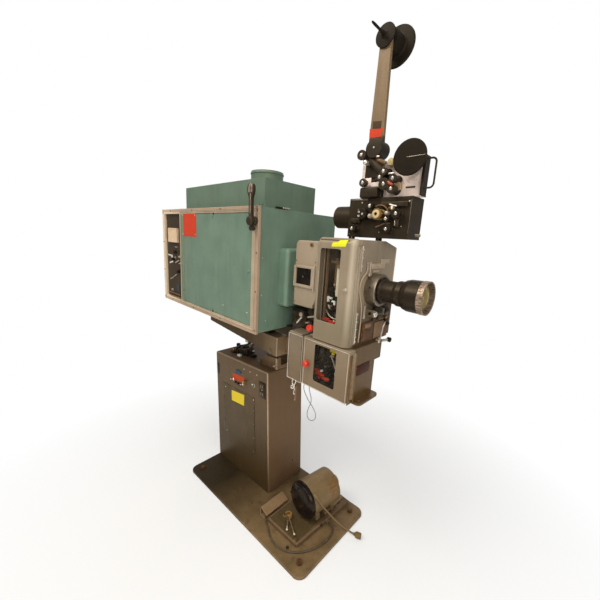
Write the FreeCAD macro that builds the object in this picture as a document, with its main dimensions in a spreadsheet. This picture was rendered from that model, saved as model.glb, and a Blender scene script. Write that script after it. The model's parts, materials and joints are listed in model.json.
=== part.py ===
"""Cinema film projector on a steel pedestal: lamphouse, projector head, soundhead,
sound readers, reel arm and drive motor.

+X points along the lens to the screen, -Y is the operator's side and +Z is up.
The origin is on the floor under the middle of the base plate. Everything above the
tilting table is drawn level, in the machine's own frame, and then turned about the
tilt pin by the projection angle.
"""
import FreeCAD
import Part
import math
import os
import re
import Sketcher

Vector = FreeCAD.Vector
Rotation = FreeCAD.Rotation
Placement = FreeCAD.Placement

# Driving dimensions in millimetres, degrees and counts
SIZES = [
    # Beam
    ("tilt_deg", 3.66, "projection angle, lens end down"),
    ("axis_y", -15, "optical axis, level frame"),
    ("axis_z", 1249, "optical axis, level frame"),
    # Base plate
    ("base_long", 942, ""),
    ("base_wide", 484, ""),
    ("base_thick", 12, ""),
    ("base_corner", 40, ""),
    ("jack_inset", 55, "levelling screws from the plate's edges"),
    ("jack_rad", 8, "M16 levelling screw"),
    ("jack_hex", 24, "across flats"),
    # Pedestal
    ("ped_back", -477, ""),
    ("ped_long", 504, ""),
    ("ped_near", -34, ""),
    ("ped_wide", 261, ""),
    ("ped_top", 717, ""),
    ("ped_wall", 3, ""),
    ("ped_round", 10, ""),
    ("hatch_back", -386, "opening behind the access panel"),
    ("hatch_long", 284, ""),
    ("hatch_low", 212, ""),
    ("hatch_tall", 311, ""),
    ("hatch_lap", 14, "access panel over its opening"),
    ("well_back", -415, "cable opening in the pedestal's top"),
    ("well_long", 78, ""),
    ("well_near", 24, ""),
    ("well_wide", 130, ""),
    # Tilt
    ("pin_x", -28, ""),
    ("pin_z", 808, ""),
    ("pin_rad", 10, ""),
    ("running_gap", 0.05, "radial, in every bearing"),
    ("cheek_near", 32, "near face of table and pivot block"),
    ("cheek_wide", 130, ""),
    ("cheek_thick", 14, ""),
    ("table_back", -648, ""),
    ("table_front", 23, ""),
    ("table_top", 897, ""),
    ("table_rear_low", 840, ""),
    ("table_front_low", 791, ""),
    ("table_plate", 12, ""),
    ("screw_x", -300, "tilt screw"),
    ("screw_y", 97, ""),
    ("screw_rad", 12, ""),
    ("screw_top", 824.6, "centre of its ball end"),
    ("pad_x", -301, "bearing pad under the table, level frame"),
    ("pad_z", 820, ""),
    # Lamphouse
    ("lamp_back", -656, ""),
    ("lamp_front", 200, ""),
    ("lamp_near", -243, ""),
    ("lamp_far", 219, ""),
    ("lamp_low", 1022, ""),
    ("lamp_high", 1523, ""),
    ("sheet", 3, ""),
    ("beam_rad", 75, "opening in the lamphouse's front"),
    ("divider_x", -447, "between lamp room and switch room"),
    ("frame_back", -668, ""),
    ("frame_front", 206, ""),
    ("frame_low", 1020, ""),
    ("frame_high", 1526, ""),
    ("frame_face", -256, ""),
    ("frame_rail", 24, ""),
    ("frame_stile", 41, ""),
    ("door_gap", 2, ""),
    ("door_face", -251, ""),
    ("door_deep", 20, ""),
    ("plenum_back", -451, ""),
    ("plenum_long", 643, ""),
    ("plenum_near", -218, ""),
    ("plenum_wide", 286, ""),
    ("plenum_tall", 110, ""),
    ("collar_x", 30, ""),
    ("collar_y", -75, ""),
    ("collar_rad", 71, "exhaust duct collar"),
    ("collar_tall", 55, ""),
    ("nose_deep", 50, ""),
    ("nose_half", 122, ""),
    ("nose_round", 18, ""),
    ("tunnel_rad", 52, "light tunnel to the shutter"),
    ("mirror_rad", 180, ""),
    ("mirror_deep", 225, ""),
    ("mirror_rim", -160, ""),
    ("mirror_hole", 30, ""),
    ("mirror_thick", 4, ""),
    ("bulb_rad", 29, ""),
    ("bulb_stem", 11, ""),
    ("bulb_cap", 14, ""),
    ("bulb_back", -430, ""),
    ("bulb_front", -96, ""),
    ("bulb_mid", -318, ""),
    ("lever_x", 189, "douser shaft"),
    ("lever_z", 1468, ""),
    ("lever_shaft", 6, ""),
    # Shutter and head
    ("shut_back", 294, ""),
    ("shut_front", 412, ""),
    ("shut_near", -137, ""),
    ("shut_far", 150, ""),
    ("shut_low", 1152, ""),
    ("shut_high", 1408, ""),
    ("blade_rad", 86, ""),
    ("blade_y", 47, "shutter shaft"),
    ("head_back", 415, ""),
    ("head_front", 577, ""),
    ("head_near", -112, "plane where the door closes"),
    ("head_far", 146, ""),
    ("head_low", 1042, ""),
    ("head_high", 1422, ""),
    ("head_wall", 8, ""),
    ("film_wall", 8, "face of the wall that carries the film path"),
    ("cover_near", -145, "outer face of both doors"),
    ("cover_wall", 3, ""),
    ("cover_round", 30, ""),
    ("feed_x", 480, "feed sprocket"),
    ("feed_z", 1352, ""),
    ("step_x", 474, "intermittent sprocket"),
    ("step_z", 1170, ""),
    ("drum_rad", 58, ""),
    ("drum_long", 42, ""),
    ("barrel_rad", 39, ""),
    ("lens_front", 783, ""),
    ("lens_rim_rad", 56, ""),
    # Soundhead
    ("sound_back", 376, ""),
    ("sound_front", 594, ""),
    ("sound_low", 839, ""),
    ("sound_far", 29, ""),
    ("side_back", 295, ""),
    ("side_front", 361, ""),
    # Readers, arm and spindle
    ("reader_back", 429, ""),
    ("reader_front", 677, ""),
    ("reader_near", 8, ""),
    ("reader_far", 98, ""),
    ("reader_low", 1432, ""),
    ("reader_high", 1572, ""),
    ("upper_back", 461, ""),
    ("upper_front", 699, ""),
    ("upper_high", 1692, ""),
    ("fly_x", 664, ""),
    ("fly_z", 1684, ""),
    ("fly_rad", 55, ""),
    ("arm_low", 1640, ""),
    ("arm_x", 513, ""),
    ("spindle_z", 2081, ""),
    ("spindle_rad", 8, ""),
    # Motor
    ("motor_x", 272, ""),
    ("motor_y", -47, "front of the end bell"),
    ("motor_z", 125, ""),
    ("motor_turn", 8, "the motor's front is turned from -Y toward -X"),
    ("motor_rad", 84, ""),
    ("motor_long", 216, ""),
    ("bell_rad", 87, ""),
    ("bell_deep", 42, ""),
    ("shaft_rad", 8, ""),
    ("tray_top", 32, ""),
    ("cord_rad", 4, ""),
    ("wire_rad", 1.5, ""),
]

doc = FreeCAD.newDocument("Projector")
sheet = doc.addObject("Spreadsheet::Sheet", "Dims")
for row, (alias, value, meaning) in enumerate(SIZES, start=1):
    sheet.set("A%d" % row, str(value))
    sheet.setAlias("A%d" % row, alias)
    sheet.set("B%d" % row, meaning)
doc.recompute()

ALIASES = {alias for alias, value, meaning in SIZES}
parts = []


def size(alias):
    """The value of a cell, for sizes that are worked out here."""
    return float(sheet.get(alias))


def cells(formula):
    """A formula over cell aliases, written as a document expression."""
    return re.sub(r"[a-z_]+", lambda found: "Dims." + found.group() if found.group() in ALIASES
                  else found.group(), str(formula))


def bind(obj, prop, formula):
    obj.setExpression(prop, cells(formula))


TURNS = {
    "x": Rotation(Vector(0, 1, 0), 90),
    "y": Rotation(Vector(1, 0, 0), -90),
    "z": Rotation(),
}


def put(obj, at, axis="z"):
    """Place a primitive with its own Z along an axis, at three formulas."""
    obj.Placement = Placement(Vector(), TURNS[axis])
    for letter, formula in zip("xyz", at):
        bind(obj, ".Placement.Base." + letter, formula)
    return obj


def box(name, low, high):
    """A box between two corners given as formulas."""
    obj = doc.addObject("Part::Box", name)
    for prop, start, end in zip(("Length", "Width", "Height"), low, high):
        bind(obj, prop, "(%s) - (%s)" % (end, start))
    return put(obj, low)


def rod(name, radius, length, at, axis):
    """A cylinder that starts at a point and runs along an axis."""
    obj = doc.addObject("Part::Cylinder", name)
    bind(obj, "Radius", radius)
    bind(obj, "Height", length)
    return put(obj, at, axis)


def cone(name, radii, length, at, axis):
    obj = doc.addObject("Part::Cone", name)
    bind(obj, "Radius1", radii[0])
    bind(obj, "Radius2", radii[1])
    bind(obj, "Height", length)
    return put(obj, at, axis)


def ball(name, radius, at):
    obj = doc.addObject("Part::Sphere", name)
    bind(obj, "Radius", radius)
    return put(obj, at)


def join(name, shapes):
    obj = doc.addObject("Part::MultiFuse", name)
    obj.Shapes = shapes
    obj.Refine = True
    return obj


def group(name, shapes):
    obj = doc.addObject("Part::Compound", name)
    obj.Links = shapes
    return obj


def cut(name, base, tools):
    obj = doc.addObject("Part::Cut", name)
    obj.Base = base
    obj.Tool = tools[0] if len(tools) == 1 else join(name + "_tools", tools)
    obj.Refine = True
    return obj


def body(name):
    return doc.addObject("PartDesign::Body", name)


def plane(owner, role):
    return [f for f in owner.Origin.OriginFeatures if f.Role == role][0]


def outline(owner, role, corners, name):
    """A closed sketch through corners whose places are formulas."""
    sketch = owner.newObject("Sketcher::SketchObject", name)
    sketch.AttachmentSupport = (plane(owner, role), [""])
    sketch.MapMode = "FlatFace"
    count = len(corners)
    rough = [Vector(10.0 * math.cos(2 * math.pi * i / count), 10.0 * math.sin(2 * math.pi * i / count), 0)
             for i in range(count)]
    for i in range(count):
        sketch.addGeometry(Part.LineSegment(rough[i], rough[(i + 1) % count]), False)
    for i in range(count):
        sketch.addConstraint(Sketcher.Constraint("Coincident", i, 2, (i + 1) % count, 1))
    for i, corner in enumerate(corners):
        for kind, formula in zip(("DistanceX", "DistanceY"), corner):
            index = sketch.addConstraint(Sketcher.Constraint(kind, -1, 1, i, 1, 1.0))
            bind(sketch, "Constraints[%d]" % index, formula)
    return sketch


def pad(owner, sketch, length, name):
    feature = owner.newObject("PartDesign::Pad", name)
    feature.Profile = sketch
    bind(feature, "Length", length)
    return feature


def spin(owner, sketch, axis, name):
    """A full turn of a sketch about its own H_Axis or V_Axis."""
    feature = owner.newObject("PartDesign::Revolution", name)
    feature.Profile = sketch
    feature.ReferenceAxis = (sketch, [axis])
    feature.Angle = 360
    return feature


def turned(name, profile, axis):
    """A turned piece: profile corners are (along, radius) about X, or (radius, along)."""
    owner = body(name)
    sketch = outline(owner, "XY_Plane" if axis != "z" else "XZ_Plane", profile, name + "_profile")
    spin(owner, sketch, "H_Axis" if axis == "x" else "V_Axis", name + "_turned")
    return owner


def soften(owner, feature, radius, wanted, name):
    """Round the edges of a feature that a test picks."""
    doc.recompute()
    names = ["Edge%d" % (i + 1) for i, edge in enumerate(feature.Shape.Edges) if wanted(edge)]
    rounded = owner.newObject("PartDesign::Fillet", name)
    rounded.Base = (feature, names)
    bind(rounded, "Radius", radius)
    return rounded


def runs_along(edge, axis):
    """True for a straight edge along an axis."""
    if len(edge.Vertexes) != 2 or edge.Curve.TypeId != "Part::GeomLine":
        return False
    direction = (edge.Vertexes[1].Point - edge.Vertexes[0].Point).normalize()
    return abs(abs(getattr(direction, axis)) - 1) < 1e-6


def near(value, target):
    return abs(value - target) < 1e-3


TILT = Placement(
    Vector(),
    Rotation(Vector(0, 1, 0), size("tilt_deg")),
    Vector(size("pin_x"), 0, size("pin_z")),
)


def tilted(x=0, y=0, z=0):
    """A place in the machine's level frame, turned by the projection angle."""
    return TILT.multiply(Placement(Vector(x, y, z), Rotation()))


def askew():
    """The motor's own frame: front of its end bell, with +Y along its shaft."""
    spot = Vector(size("motor_x"), size("motor_y"), size("motor_z"))
    return Placement(spot, Rotation(Vector(0, 0, 1), -size("motor_turn")))


def upright(x=0, y=0, z=0):
    return Placement(Vector(x, y, z), Rotation())


def sub_part(label, obj, place):
    obj.Label = label
    obj.Placement = place
    parts.append(obj)
    return obj


def make_base_plate():
    owner = body("base_plate_body")
    half_x, half_y = "base_long/2", "base_wide/2"
    corners = [("-" + half_x, "-" + half_y), (half_x, "-" + half_y), (half_x, half_y), ("-" + half_x, half_y)]
    slab = pad(owner, outline(owner, "XY_Plane", corners, "base_outline"), "base_thick", "base_slab")
    rounded = soften(owner, slab, "base_corner", lambda edge: runs_along(edge, "z"), "base_corners")
    top = size("base_thick")
    soften(owner, rounded, "3", lambda edge: near(edge.BoundBox.ZMin, top), "base_rim")
    holes = owner.newObject("Sketcher::SketchObject", "jack_hole_places")
    holes.AttachmentSupport = (plane(owner, "XY_Plane"), [""])
    holes.MapMode = "FlatFace"
    for sign_x in (-1, 1):
        for sign_y in (-1, 1):
            index = holes.addGeometry(Part.Circle(Vector(sign_x * 50, sign_y * 50, 0), Vector(0, 0, 1), 8))
            for kind, sign, formula in (("DistanceX", sign_x, "base_long/2 - jack_inset"),
                                        ("DistanceY", sign_y, "base_wide/2 - jack_inset")):
                number = holes.addConstraint(Sketcher.Constraint(kind, -1, 1, index, 3, 50.0 * sign))
                bind(holes, "Constraints[%d]" % number, "%d * (%s)" % (sign, formula))
            number = holes.addConstraint(Sketcher.Constraint("Radius", index, 8.0))
            bind(holes, "Constraints[%d]" % number, "jack_rad + 0.2")
    pocket = owner.newObject("PartDesign::Pocket", "jack_holes")
    pocket.Profile = holes
    pocket.Type = "ThroughAll"
    pocket.Midplane = True
    sub_part("base_plate", owner, upright())


def hex_head(name, across, tall, at):
    prism = doc.addObject("Part::Prism", name)
    prism.Polygon = 6
    bind(prism, "Circumradius", "(%s)/cos(30)" % across + "/2")
    bind(prism, "Height", tall)
    return put(prism, at)


def make_levelling_screws():
    screws = []
    for number, (sign_x, sign_y) in enumerate([(-1, -1), (-1, 1), (1, -1), (1, 1)]):
        x = "%d * (base_long/2 - jack_inset)" % sign_x
        y = "%d * (base_wide/2 - jack_inset)" % sign_y
        shank = rod("jack_shank%d" % number, "jack_rad", "base_thick + 14", (x, y, 0), "z")
        washer = rod("jack_washer%d" % number, "jack_rad * 1.7", "2.5", (x, y, "base_thick"), "z")
        head = hex_head("jack_head%d" % number, "jack_hex", "8", (x, y, "base_thick + 2.5"))
        screws.append(join("jack%d" % number, [shank, washer, head]))
    sub_part("levelling_screws", group("jack_group", screws), upright())


def make_pedestal():
    owner = body("pedestal_body")
    back, near_face = "ped_back", "ped_near"
    corners = [(back, near_face), (back + " + ped_long", near_face),
               (back + " + ped_long", near_face + " + ped_wide"), (back, near_face + " + ped_wide")]
    block = pad(owner, outline(owner, "XY_Plane", corners, "pedestal_outline"), "ped_top - base_thick",
                "pedestal_block")
    rounded = soften(owner, block, "ped_round", lambda edge: runs_along(edge, "z"), "pedestal_corners")
    top = size("ped_top") - size("base_thick")
    capped = soften(owner, rounded, "ped_round", lambda edge: near(edge.BoundBox.ZMin, top), "pedestal_cap")
    doc.recompute()
    floor_face = [i for i, face in enumerate(capped.Shape.Faces) if near(face.BoundBox.ZMax, 0)][0]
    hollow = owner.newObject("PartDesign::Thickness", "pedestal_hollow")
    hollow.Base = (capped, ["Face%d" % (floor_face + 1)])
    bind(hollow, "Value", "ped_wall")
    hollow.Reversed = True
    hollow.Mode = 0
    owner.Placement = upright(0, 0, size("base_thick"))
    boss = rod("tilt_boss", "30", "31", ("screw_x", "screw_y", "ped_top - 3"), "z")
    shell = join("pedestal_with_boss", [owner, boss])
    hatch = box("hatch", ("hatch_back", "ped_near - 5", "hatch_low"),
                ("hatch_back + hatch_long", "ped_near + 8", "hatch_low + hatch_tall"))
    well = box("cable_well", ("well_back", "well_near", "ped_top - 8"),
               ("well_back + well_long", "well_near + well_wide", "ped_top + 5"))
    bore = rod("tilt_boss_bore", "screw_rad + running_gap", "80", ("screw_x", "screw_y", "ped_top - 20"), "z")
    slot = box("hand_slot", ("-470", "ped_near - 5", "572"), ("-458", "ped_near + 8", "668"))
    socket = box("outlet_cutout", ("-36", "ped_near - 5", "572"), ("4", "ped_near + 8", "652"))
    switch_hole = rod("switch_hole", "6.2", "20", ("-286", "ped_near - 8", "588"), "y")
    drain = rod("front_hole", "5", "20", ("ped_back + ped_long - 10", "153", "120"), "x")
    shell = cut("pedestal_cut", shell, [hatch, well, bore, slot, socket, switch_hole, drain])
    sub_part("pedestal_shell", shell, upright())


def make_access_panel():
    low = ("hatch_back - hatch_lap", "ped_near - 2", "hatch_low - hatch_lap")
    high = ("hatch_back + hatch_long + hatch_lap", "ped_near", "hatch_low + hatch_tall + hatch_lap")
    sub_part("access_panel", box("access_panel_plate", low, high), upright())


def make_outlet():
    """A double socket: a block with two faces, each with two blade slots."""
    block = box("outlet_body", ("-35.5", "ped_near - 2", "572.5"), ("3.5", "ped_near + 26", "651.5"))
    tools = []
    for number, z in enumerate((592, 632)):
        for side in (-6, 6):
            tools.append(box("outlet_slot%d_%d" % (number, side + 6),
                             ("%g" % (-16 + side - 1.5), "ped_near - 6", "%g" % (z - 7)),
                             ("%g" % (-16 + side + 1.5), "ped_near + 14", "%g" % (z + 7))))
    sub_part("outlet_block", cut("outlet_cut", block, tools), upright())


def make_motor_switch():
    """Bat toggle whose ball sits in the pedestal's wall; its local origin is its pivot."""
    stem = cone("switch_bat", (2.2, 4.0), "22", (0, 0, 0), "z")
    pivot = ball("switch_ball", "5.5", (0, 0, 0))
    tip = ball("switch_tip", "4.0", (0, 0, 22))
    lever = join("switch_lever", [stem, pivot, tip])
    turn = Rotation(Vector(1, 0, 0), 90 - 18)
    sub_part("motor_switch", lever, Placement(Vector(-286, size("ped_near") + 2, 588), turn))


def make_pivot_block():
    """Casting on the pedestal: a sole with two cheeks and lugs that hold the tilt pin."""
    owner = body("pivot_side")
    corners = [("pin_x - 97", "ped_top"), ("pin_x + 53", "ped_top"), ("pin_x + 53", "pin_z - 30"),
               ("pin_x - 42", "pin_z - 30")]
    pad(owner, outline(owner, "XZ_Plane", corners, "pivot_outline"), "cheek_wide", "pivot_block_pad")
    owner.Placement = upright(0, size("cheek_near") + size("cheek_wide"), 0)
    gap = box("pivot_gap", ("pin_x - 100", "cheek_near + 30", "ped_top + 18"),
              ("pin_x + 60", "cheek_near + cheek_wide - 30", "pin_z"))
    lugs = []
    starts = ("cheek_near + cheek_thick", "cheek_near + cheek_wide - 2*cheek_thick - 2")
    for number, start in enumerate(starts):
        lugs.append(rod("lug_eye%d" % number, "22", "16", ("pin_x", start, "pin_z"), "y"))
        lugs.append(box("lug_web%d" % number, ("pin_x - 22", start, "pin_z - 32"),
                        ("pin_x + 22", start + " + 16", "pin_z")))
    solid = join("pivot_solid", [cut("pivot_cheeks", owner, [gap])] + lugs)
    bore = rod("pivot_bore", "pin_rad + running_gap", "cheek_wide", ("pin_x", "cheek_near", "pin_z"), "y")
    sub_part("pivot_block", cut("pivot_bored", solid, [bore]), upright())


def make_tilt_screw():
    shaft = rod("screw_shaft", "screw_rad", "screw_top - 560", ("screw_x", "screw_y", "560"), "z")
    top = ball("screw_ball", "screw_rad", ("screw_x", "screw_y", "screw_top"))
    collar = hex_head("screw_collar", "46", "18", ("screw_x", "screw_y", "screw_top - 36"))
    sub_part("tilt_screw", join("screw_solid", [shaft, top, collar]), upright())


def make_tilt_table():
    """Tapered steel channel, open below, with a pad for the tilt screw."""
    owner = body("table_side")
    corners = [("table_back", "table_rear_low"), ("table_front", "table_front_low"),
               ("table_front", "table_top"), ("table_back", "table_top")]
    pad(owner, outline(owner, "XZ_Plane", corners, "table_outline"), "cheek_wide", "table_pad")
    owner.Placement = upright(0, size("cheek_near") + size("cheek_wide"), 0)
    inside = box("table_inside", ("table_back + table_plate", "cheek_near + table_plate", "700"),
                 ("table_front - table_plate", "cheek_near + cheek_wide - table_plate",
                  "table_top - table_plate"))
    channel = cut("table_channel", owner, [inside])
    bridge = box("table_bridge", ("pad_x - 42", "cheek_near + table_plate", "pad_z"),
                 ("pad_x + 42", "cheek_near + cheek_wide - table_plate", "pad_z + 12"))
    whole = join("table_joined", [channel, bridge])
    bore = rod("table_bore", "pin_rad + running_gap", "cheek_wide + 4",
               ("pin_x", "cheek_near - 2", "pin_z"), "y")
    sub_part("tilt_table", cut("table_bored", whole, [bore]), tilted())


def make_tilt_pin():
    shaft = rod("pin_shaft", "pin_rad", "cheek_wide", ("pin_x", "cheek_near", "pin_z"), "y")
    near_head = rod("pin_head", "pin_rad + 5", "5", ("pin_x", "cheek_near - 5", "pin_z"), "y")
    far_head = rod("pin_washer", "pin_rad + 5", "5", ("pin_x", "cheek_near + cheek_wide", "pin_z"), "y")
    sub_part("tilt_pin", join("pin_solid", [shaft, near_head, far_head]), tilted())


def make_riser():
    """Welded stand between the table and the lamphouse, with a wide top flange."""
    post = box("riser_post", ("-560", "cheek_near + 6", "table_top"),
               ("-60", "cheek_near + cheek_wide - 6", "lamp_low - 8"))
    hollow = box("riser_hollow", ("-552", "cheek_near + 14", "table_top - 5"),
                 ("-68", "cheek_near + cheek_wide - 14", "lamp_low - 16"))
    flange = box("riser_flange", ("-600", "-130", "lamp_low - 8"), ("-30", "lamp_far - 15", "lamp_low"))
    sub_part("lamphouse_riser", join("riser_joined", [cut("riser_tube", post, [hollow]), flange]), tilted())


def make_front_bracket():
    """Cranked arm that carries the soundhead and projector head from the table's front."""
    owner = body("bracket_arm")
    corners = [("table_front", 92), (384, 92), (384, "sound_far"), (500, "sound_far"), (500, 152),
               ("table_front", 152)]
    arm = pad(owner, outline(owner, "XY_Plane", corners, "bracket_outline"), 90, "bracket_pad")
    soften(owner, arm, 12, lambda edge: runs_along(edge, "z") and edge.CenterOfMass.x > 300, "bracket_round")
    sub_part("front_bracket", owner, tilted(0, 0, size("table_top") - 95))


def make_lamphouse_body():
    """Folded sheet case, open to the operator's side, with a divider and the beam opening."""
    shell = box("lamp_outer", ("lamp_back", "lamp_near", "lamp_low"), ("lamp_front", "lamp_far", "lamp_high"))
    rooms = []
    for number, (start, end) in enumerate([("lamp_back + sheet", "divider_x - sheet"),
                                           ("divider_x", "lamp_front - sheet")]):
        rooms.append(box("lamp_room%d" % number, (start, "lamp_near - 5", "lamp_low + sheet"),
                         (end, "lamp_far - sheet", "lamp_high - sheet")))
    beam = rod("beam_opening", "beam_rad", "20", ("lamp_front - 10", "axis_y", "axis_z"), "x")
    flue = rod("flue_opening", "collar_rad - 4", "20", ("collar_x", "collar_y", "lamp_high - 10"), "z")
    vents = []
    for number in range(10):
        z = 1120 + 30 * number
        vents.append(box("vent%d" % number, ("lamp_back - 5", "-40", str(z)),
                         ("lamp_back + 8", "160", str(z + 10))))
    shaft_end = rod("douser_shaft_hole", "lever_shaft + running_gap", "16",
                    ("lever_x", "lamp_far - 8", "lever_z"), "y")
    pass_through = rod("divider_hole", "34", "20", ("divider_x - 12", "axis_y", "axis_z"), "x")
    sub_part("lamphouse_body",
             cut("lamp_case", shell, rooms + [beam, flue, shaft_end, pass_through] + vents), tilted())


def make_side_frame():
    """Bright metal frame round the lamp door and the switch panel."""
    face, back = "frame_face", "lamp_near"
    outer = box("frame_outer", ("frame_back", face, "frame_low"), ("frame_front", back, "frame_high"))
    low, high = "frame_low + frame_rail", "frame_high - frame_rail"
    panel_hole = box("frame_panel_hole", ("frame_back + frame_rail", "frame_face - 5", low),
                     ("divider_x - 7", "lamp_near + 5", high))
    door_hole = box("frame_door_hole", ("divider_x + 5", "frame_face - 5", low),
                    ("frame_front - frame_stile", "lamp_near + 5", high))
    step = box("frame_step", ("divider_x - 4", "frame_face - 5", "frame_low + frame_rail - 8"),
               ("frame_front - frame_stile + 22", "frame_face + 3", "frame_high - frame_rail + 8"))
    groove = rod("frame_hinge_groove", "4", "frame_high - frame_low - 2*frame_rail - 2*door_gap + 8",
                 ("divider_x + 5.5", "door_face - 3", "frame_low + frame_rail - 4 + door_gap"), "z")
    shaft_hole = rod("frame_shaft_hole", "lever_shaft + running_gap", "30",
                     ("lever_x", "frame_face - 8", "lever_z"), "y")
    sub_part("side_frame", cut("frame_cut", outer, [panel_hole, door_hole, step, groove, shaft_hole]),
             tilted())


def make_control_panel():
    plate = box("panel_plate", ("lamp_back + sheet", "lamp_near", "frame_low + frame_rail + 1"),
                ("divider_x - sheet", "lamp_near + sheet", "frame_high - frame_rail - 1"))
    hole = rod("panel_switch_hole", "6.2", "20", ("-588", "lamp_near - 8", "1276"), "y")
    sub_part("control_panel", cut("panel_drilled", plate, [hole]), tilted())


def make_meter():
    """Current meter: a flat case with a sunk dial window."""
    case = box("meter_case", ("-604", "lamp_near - 12", "1352"), ("-496", "lamp_near", "1428"))
    window = box("meter_window", ("-597", "lamp_near - 14", "1372"), ("-503", "lamp_near - 10", "1422"))
    sub_part("meter", cut("meter_cut", case, [window]), tilted())


def make_lamp_switch():
    stem = cone("lamp_switch_bat", (2.4, 4.4), "20", (0, 0, 0), "z")
    pivot = ball("lamp_switch_ball", "5.5", (0, 0, 0))
    tip = ball("lamp_switch_tip", "4.4", (0, 0, 20))
    lever = join("lamp_switch_lever", [stem, pivot, tip])
    spot = tilted(-588, size("lamp_near") + 1.5, 1276)
    turn = Placement(Vector(), Rotation(Vector(1, 0, 0), 90 - 18))
    sub_part("lamp_switch", lever, spot.multiply(turn))


def make_plenum():
    low = ("plenum_back", "plenum_near", "lamp_high")
    high = ("plenum_back + plenum_long", "plenum_near + plenum_wide", "lamp_high + plenum_tall")
    inner_low = ("plenum_back + 2", "plenum_near + 2", "lamp_high - 5")
    inner_high = ("plenum_back + plenum_long - 2", "plenum_near + plenum_wide - 2",
                  "lamp_high + plenum_tall - 2")
    outlet = rod("plenum_outlet", "collar_rad + 1", "20",
                 ("collar_x", "collar_y", "lamp_high + plenum_tall - 10"),
                 "z")
    shell = cut("plenum_cut", box("plenum_outer", low, high),
                [box("plenum_inner", inner_low, inner_high), outlet])
    sub_part("plenum_box", shell, tilted())


def make_collar():
    """Spun exhaust collar with a foot flange and a rolled lip."""
    rim, wall, tall = "collar_rad", "collar_rad - 2", "collar_tall"
    profile = [(wall, 0), (rim + " + 10", 0), (rim + " + 10", 2), (rim, 2), (rim, tall + " - 14"),
               (rim + " + 2.5", tall + " - 11"), (rim + " + 2.5", tall + " - 7"), (rim, tall + " - 4"),
               (rim, tall), (wall, tall)]
    owner = turned("collar_spun", profile, "z")
    place = tilted(size("collar_x"), size("collar_y"), size("lamp_high") + size("plenum_tall"))
    sub_part("exhaust_collar", owner, place)


def make_nose():
    """Cast housing round the cone of light, with a round tunnel to the shutter."""
    owner = body("nose_case")
    half = "nose_half"
    corners = [("-" + half, "-" + half), (half, "-" + half), (half, half), ("-" + half, half)]
    block = pad(owner, outline(owner, "YZ_Plane", corners, "nose_outline"), "nose_deep", "nose_block")
    sides = soften(owner, block, "nose_round", lambda edge: runs_along(edge, "x"), "nose_sides")
    depth = size("nose_deep")
    soften(owner, sides, "nose_round - 4", lambda edge: near(edge.BoundBox.XMin, depth), "nose_edge")
    tunnel = rod("nose_tunnel", "tunnel_rad", "shut_back - lamp_front - nose_deep", ("nose_deep", 0, 0), "x")
    hollow = box("nose_hollow", ("-1", "10 - nose_half", "10 - nose_half"),
                 ("nose_deep - 5", "nose_half - 10", "nose_half - 10"))
    bore = rod("nose_bore", "tunnel_rad - 4", "200", ("-10", 0, 0), "x")
    solid = cut("nose_cut", join("nose_joined", [owner, tunnel]), [hollow, bore])
    sub_part("nose_housing", solid, tilted(size("lamp_front"), size("axis_y"), size("axis_z")))


def make_reflector():
    """Deep dish: two nested arcs through rim, shoulder and neck, turned about the beam."""
    rim, deep, neck, thick = (size(a) for a in ("mirror_rad", "mirror_deep", "mirror_hole", "mirror_thick"))

    def curve(extra):
        ends = Vector(0, rim + extra, 0), Vector(-deep - extra, neck, 0)
        middle = Vector(-0.72 * deep - extra, 0.66 * rim + extra, 0)
        return Part.Arc(ends[0], middle, ends[1]).toShape()

    inner, outer = curve(0), curve(thick)
    rim_edge = Part.LineSegment(Vector(0, rim, 0), Vector(0, rim + thick, 0)).toShape()
    neck_edge = Part.LineSegment(Vector(-deep, neck, 0), Vector(-deep - thick, neck, 0)).toShape()
    face = Part.Face(Part.Wire(Part.__sortEdges__([inner, rim_edge, outer, neck_edge])))
    dish = doc.addObject("Part::Feature", "reflector_dish")
    dish.Shape = face.revolve(Vector(), Vector(1, 0, 0), 360)
    sub_part("reflector", dish, tilted(size("mirror_rim"), size("axis_y"), size("axis_z")))


def make_bulb():
    """Xenon lamp: quartz bulb between two metal end caps, along the beam."""
    back, front, mid = "bulb_back", "bulb_front", "bulb_mid"
    profile = [(back, 0), (back, "bulb_cap"), (back + " + 42", "bulb_cap"), (back + " + 42", "bulb_stem"),
               (mid + " - 34", "bulb_stem"), (mid + " - 20", "bulb_rad - 5"), (mid + " - 8", "bulb_rad"),
               (mid + " + 8", "bulb_rad"), (mid + " + 20", "bulb_rad - 5"), (mid + " + 34", "bulb_stem"),
               (front + " - 40", "bulb_stem"), (front + " - 40", "bulb_cap"), (front, "bulb_cap"), (front, 0)]
    sub_part("xenon_bulb", turned("bulb_turned", profile, "x"), tilted(0, size("axis_y"), size("axis_z")))


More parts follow.
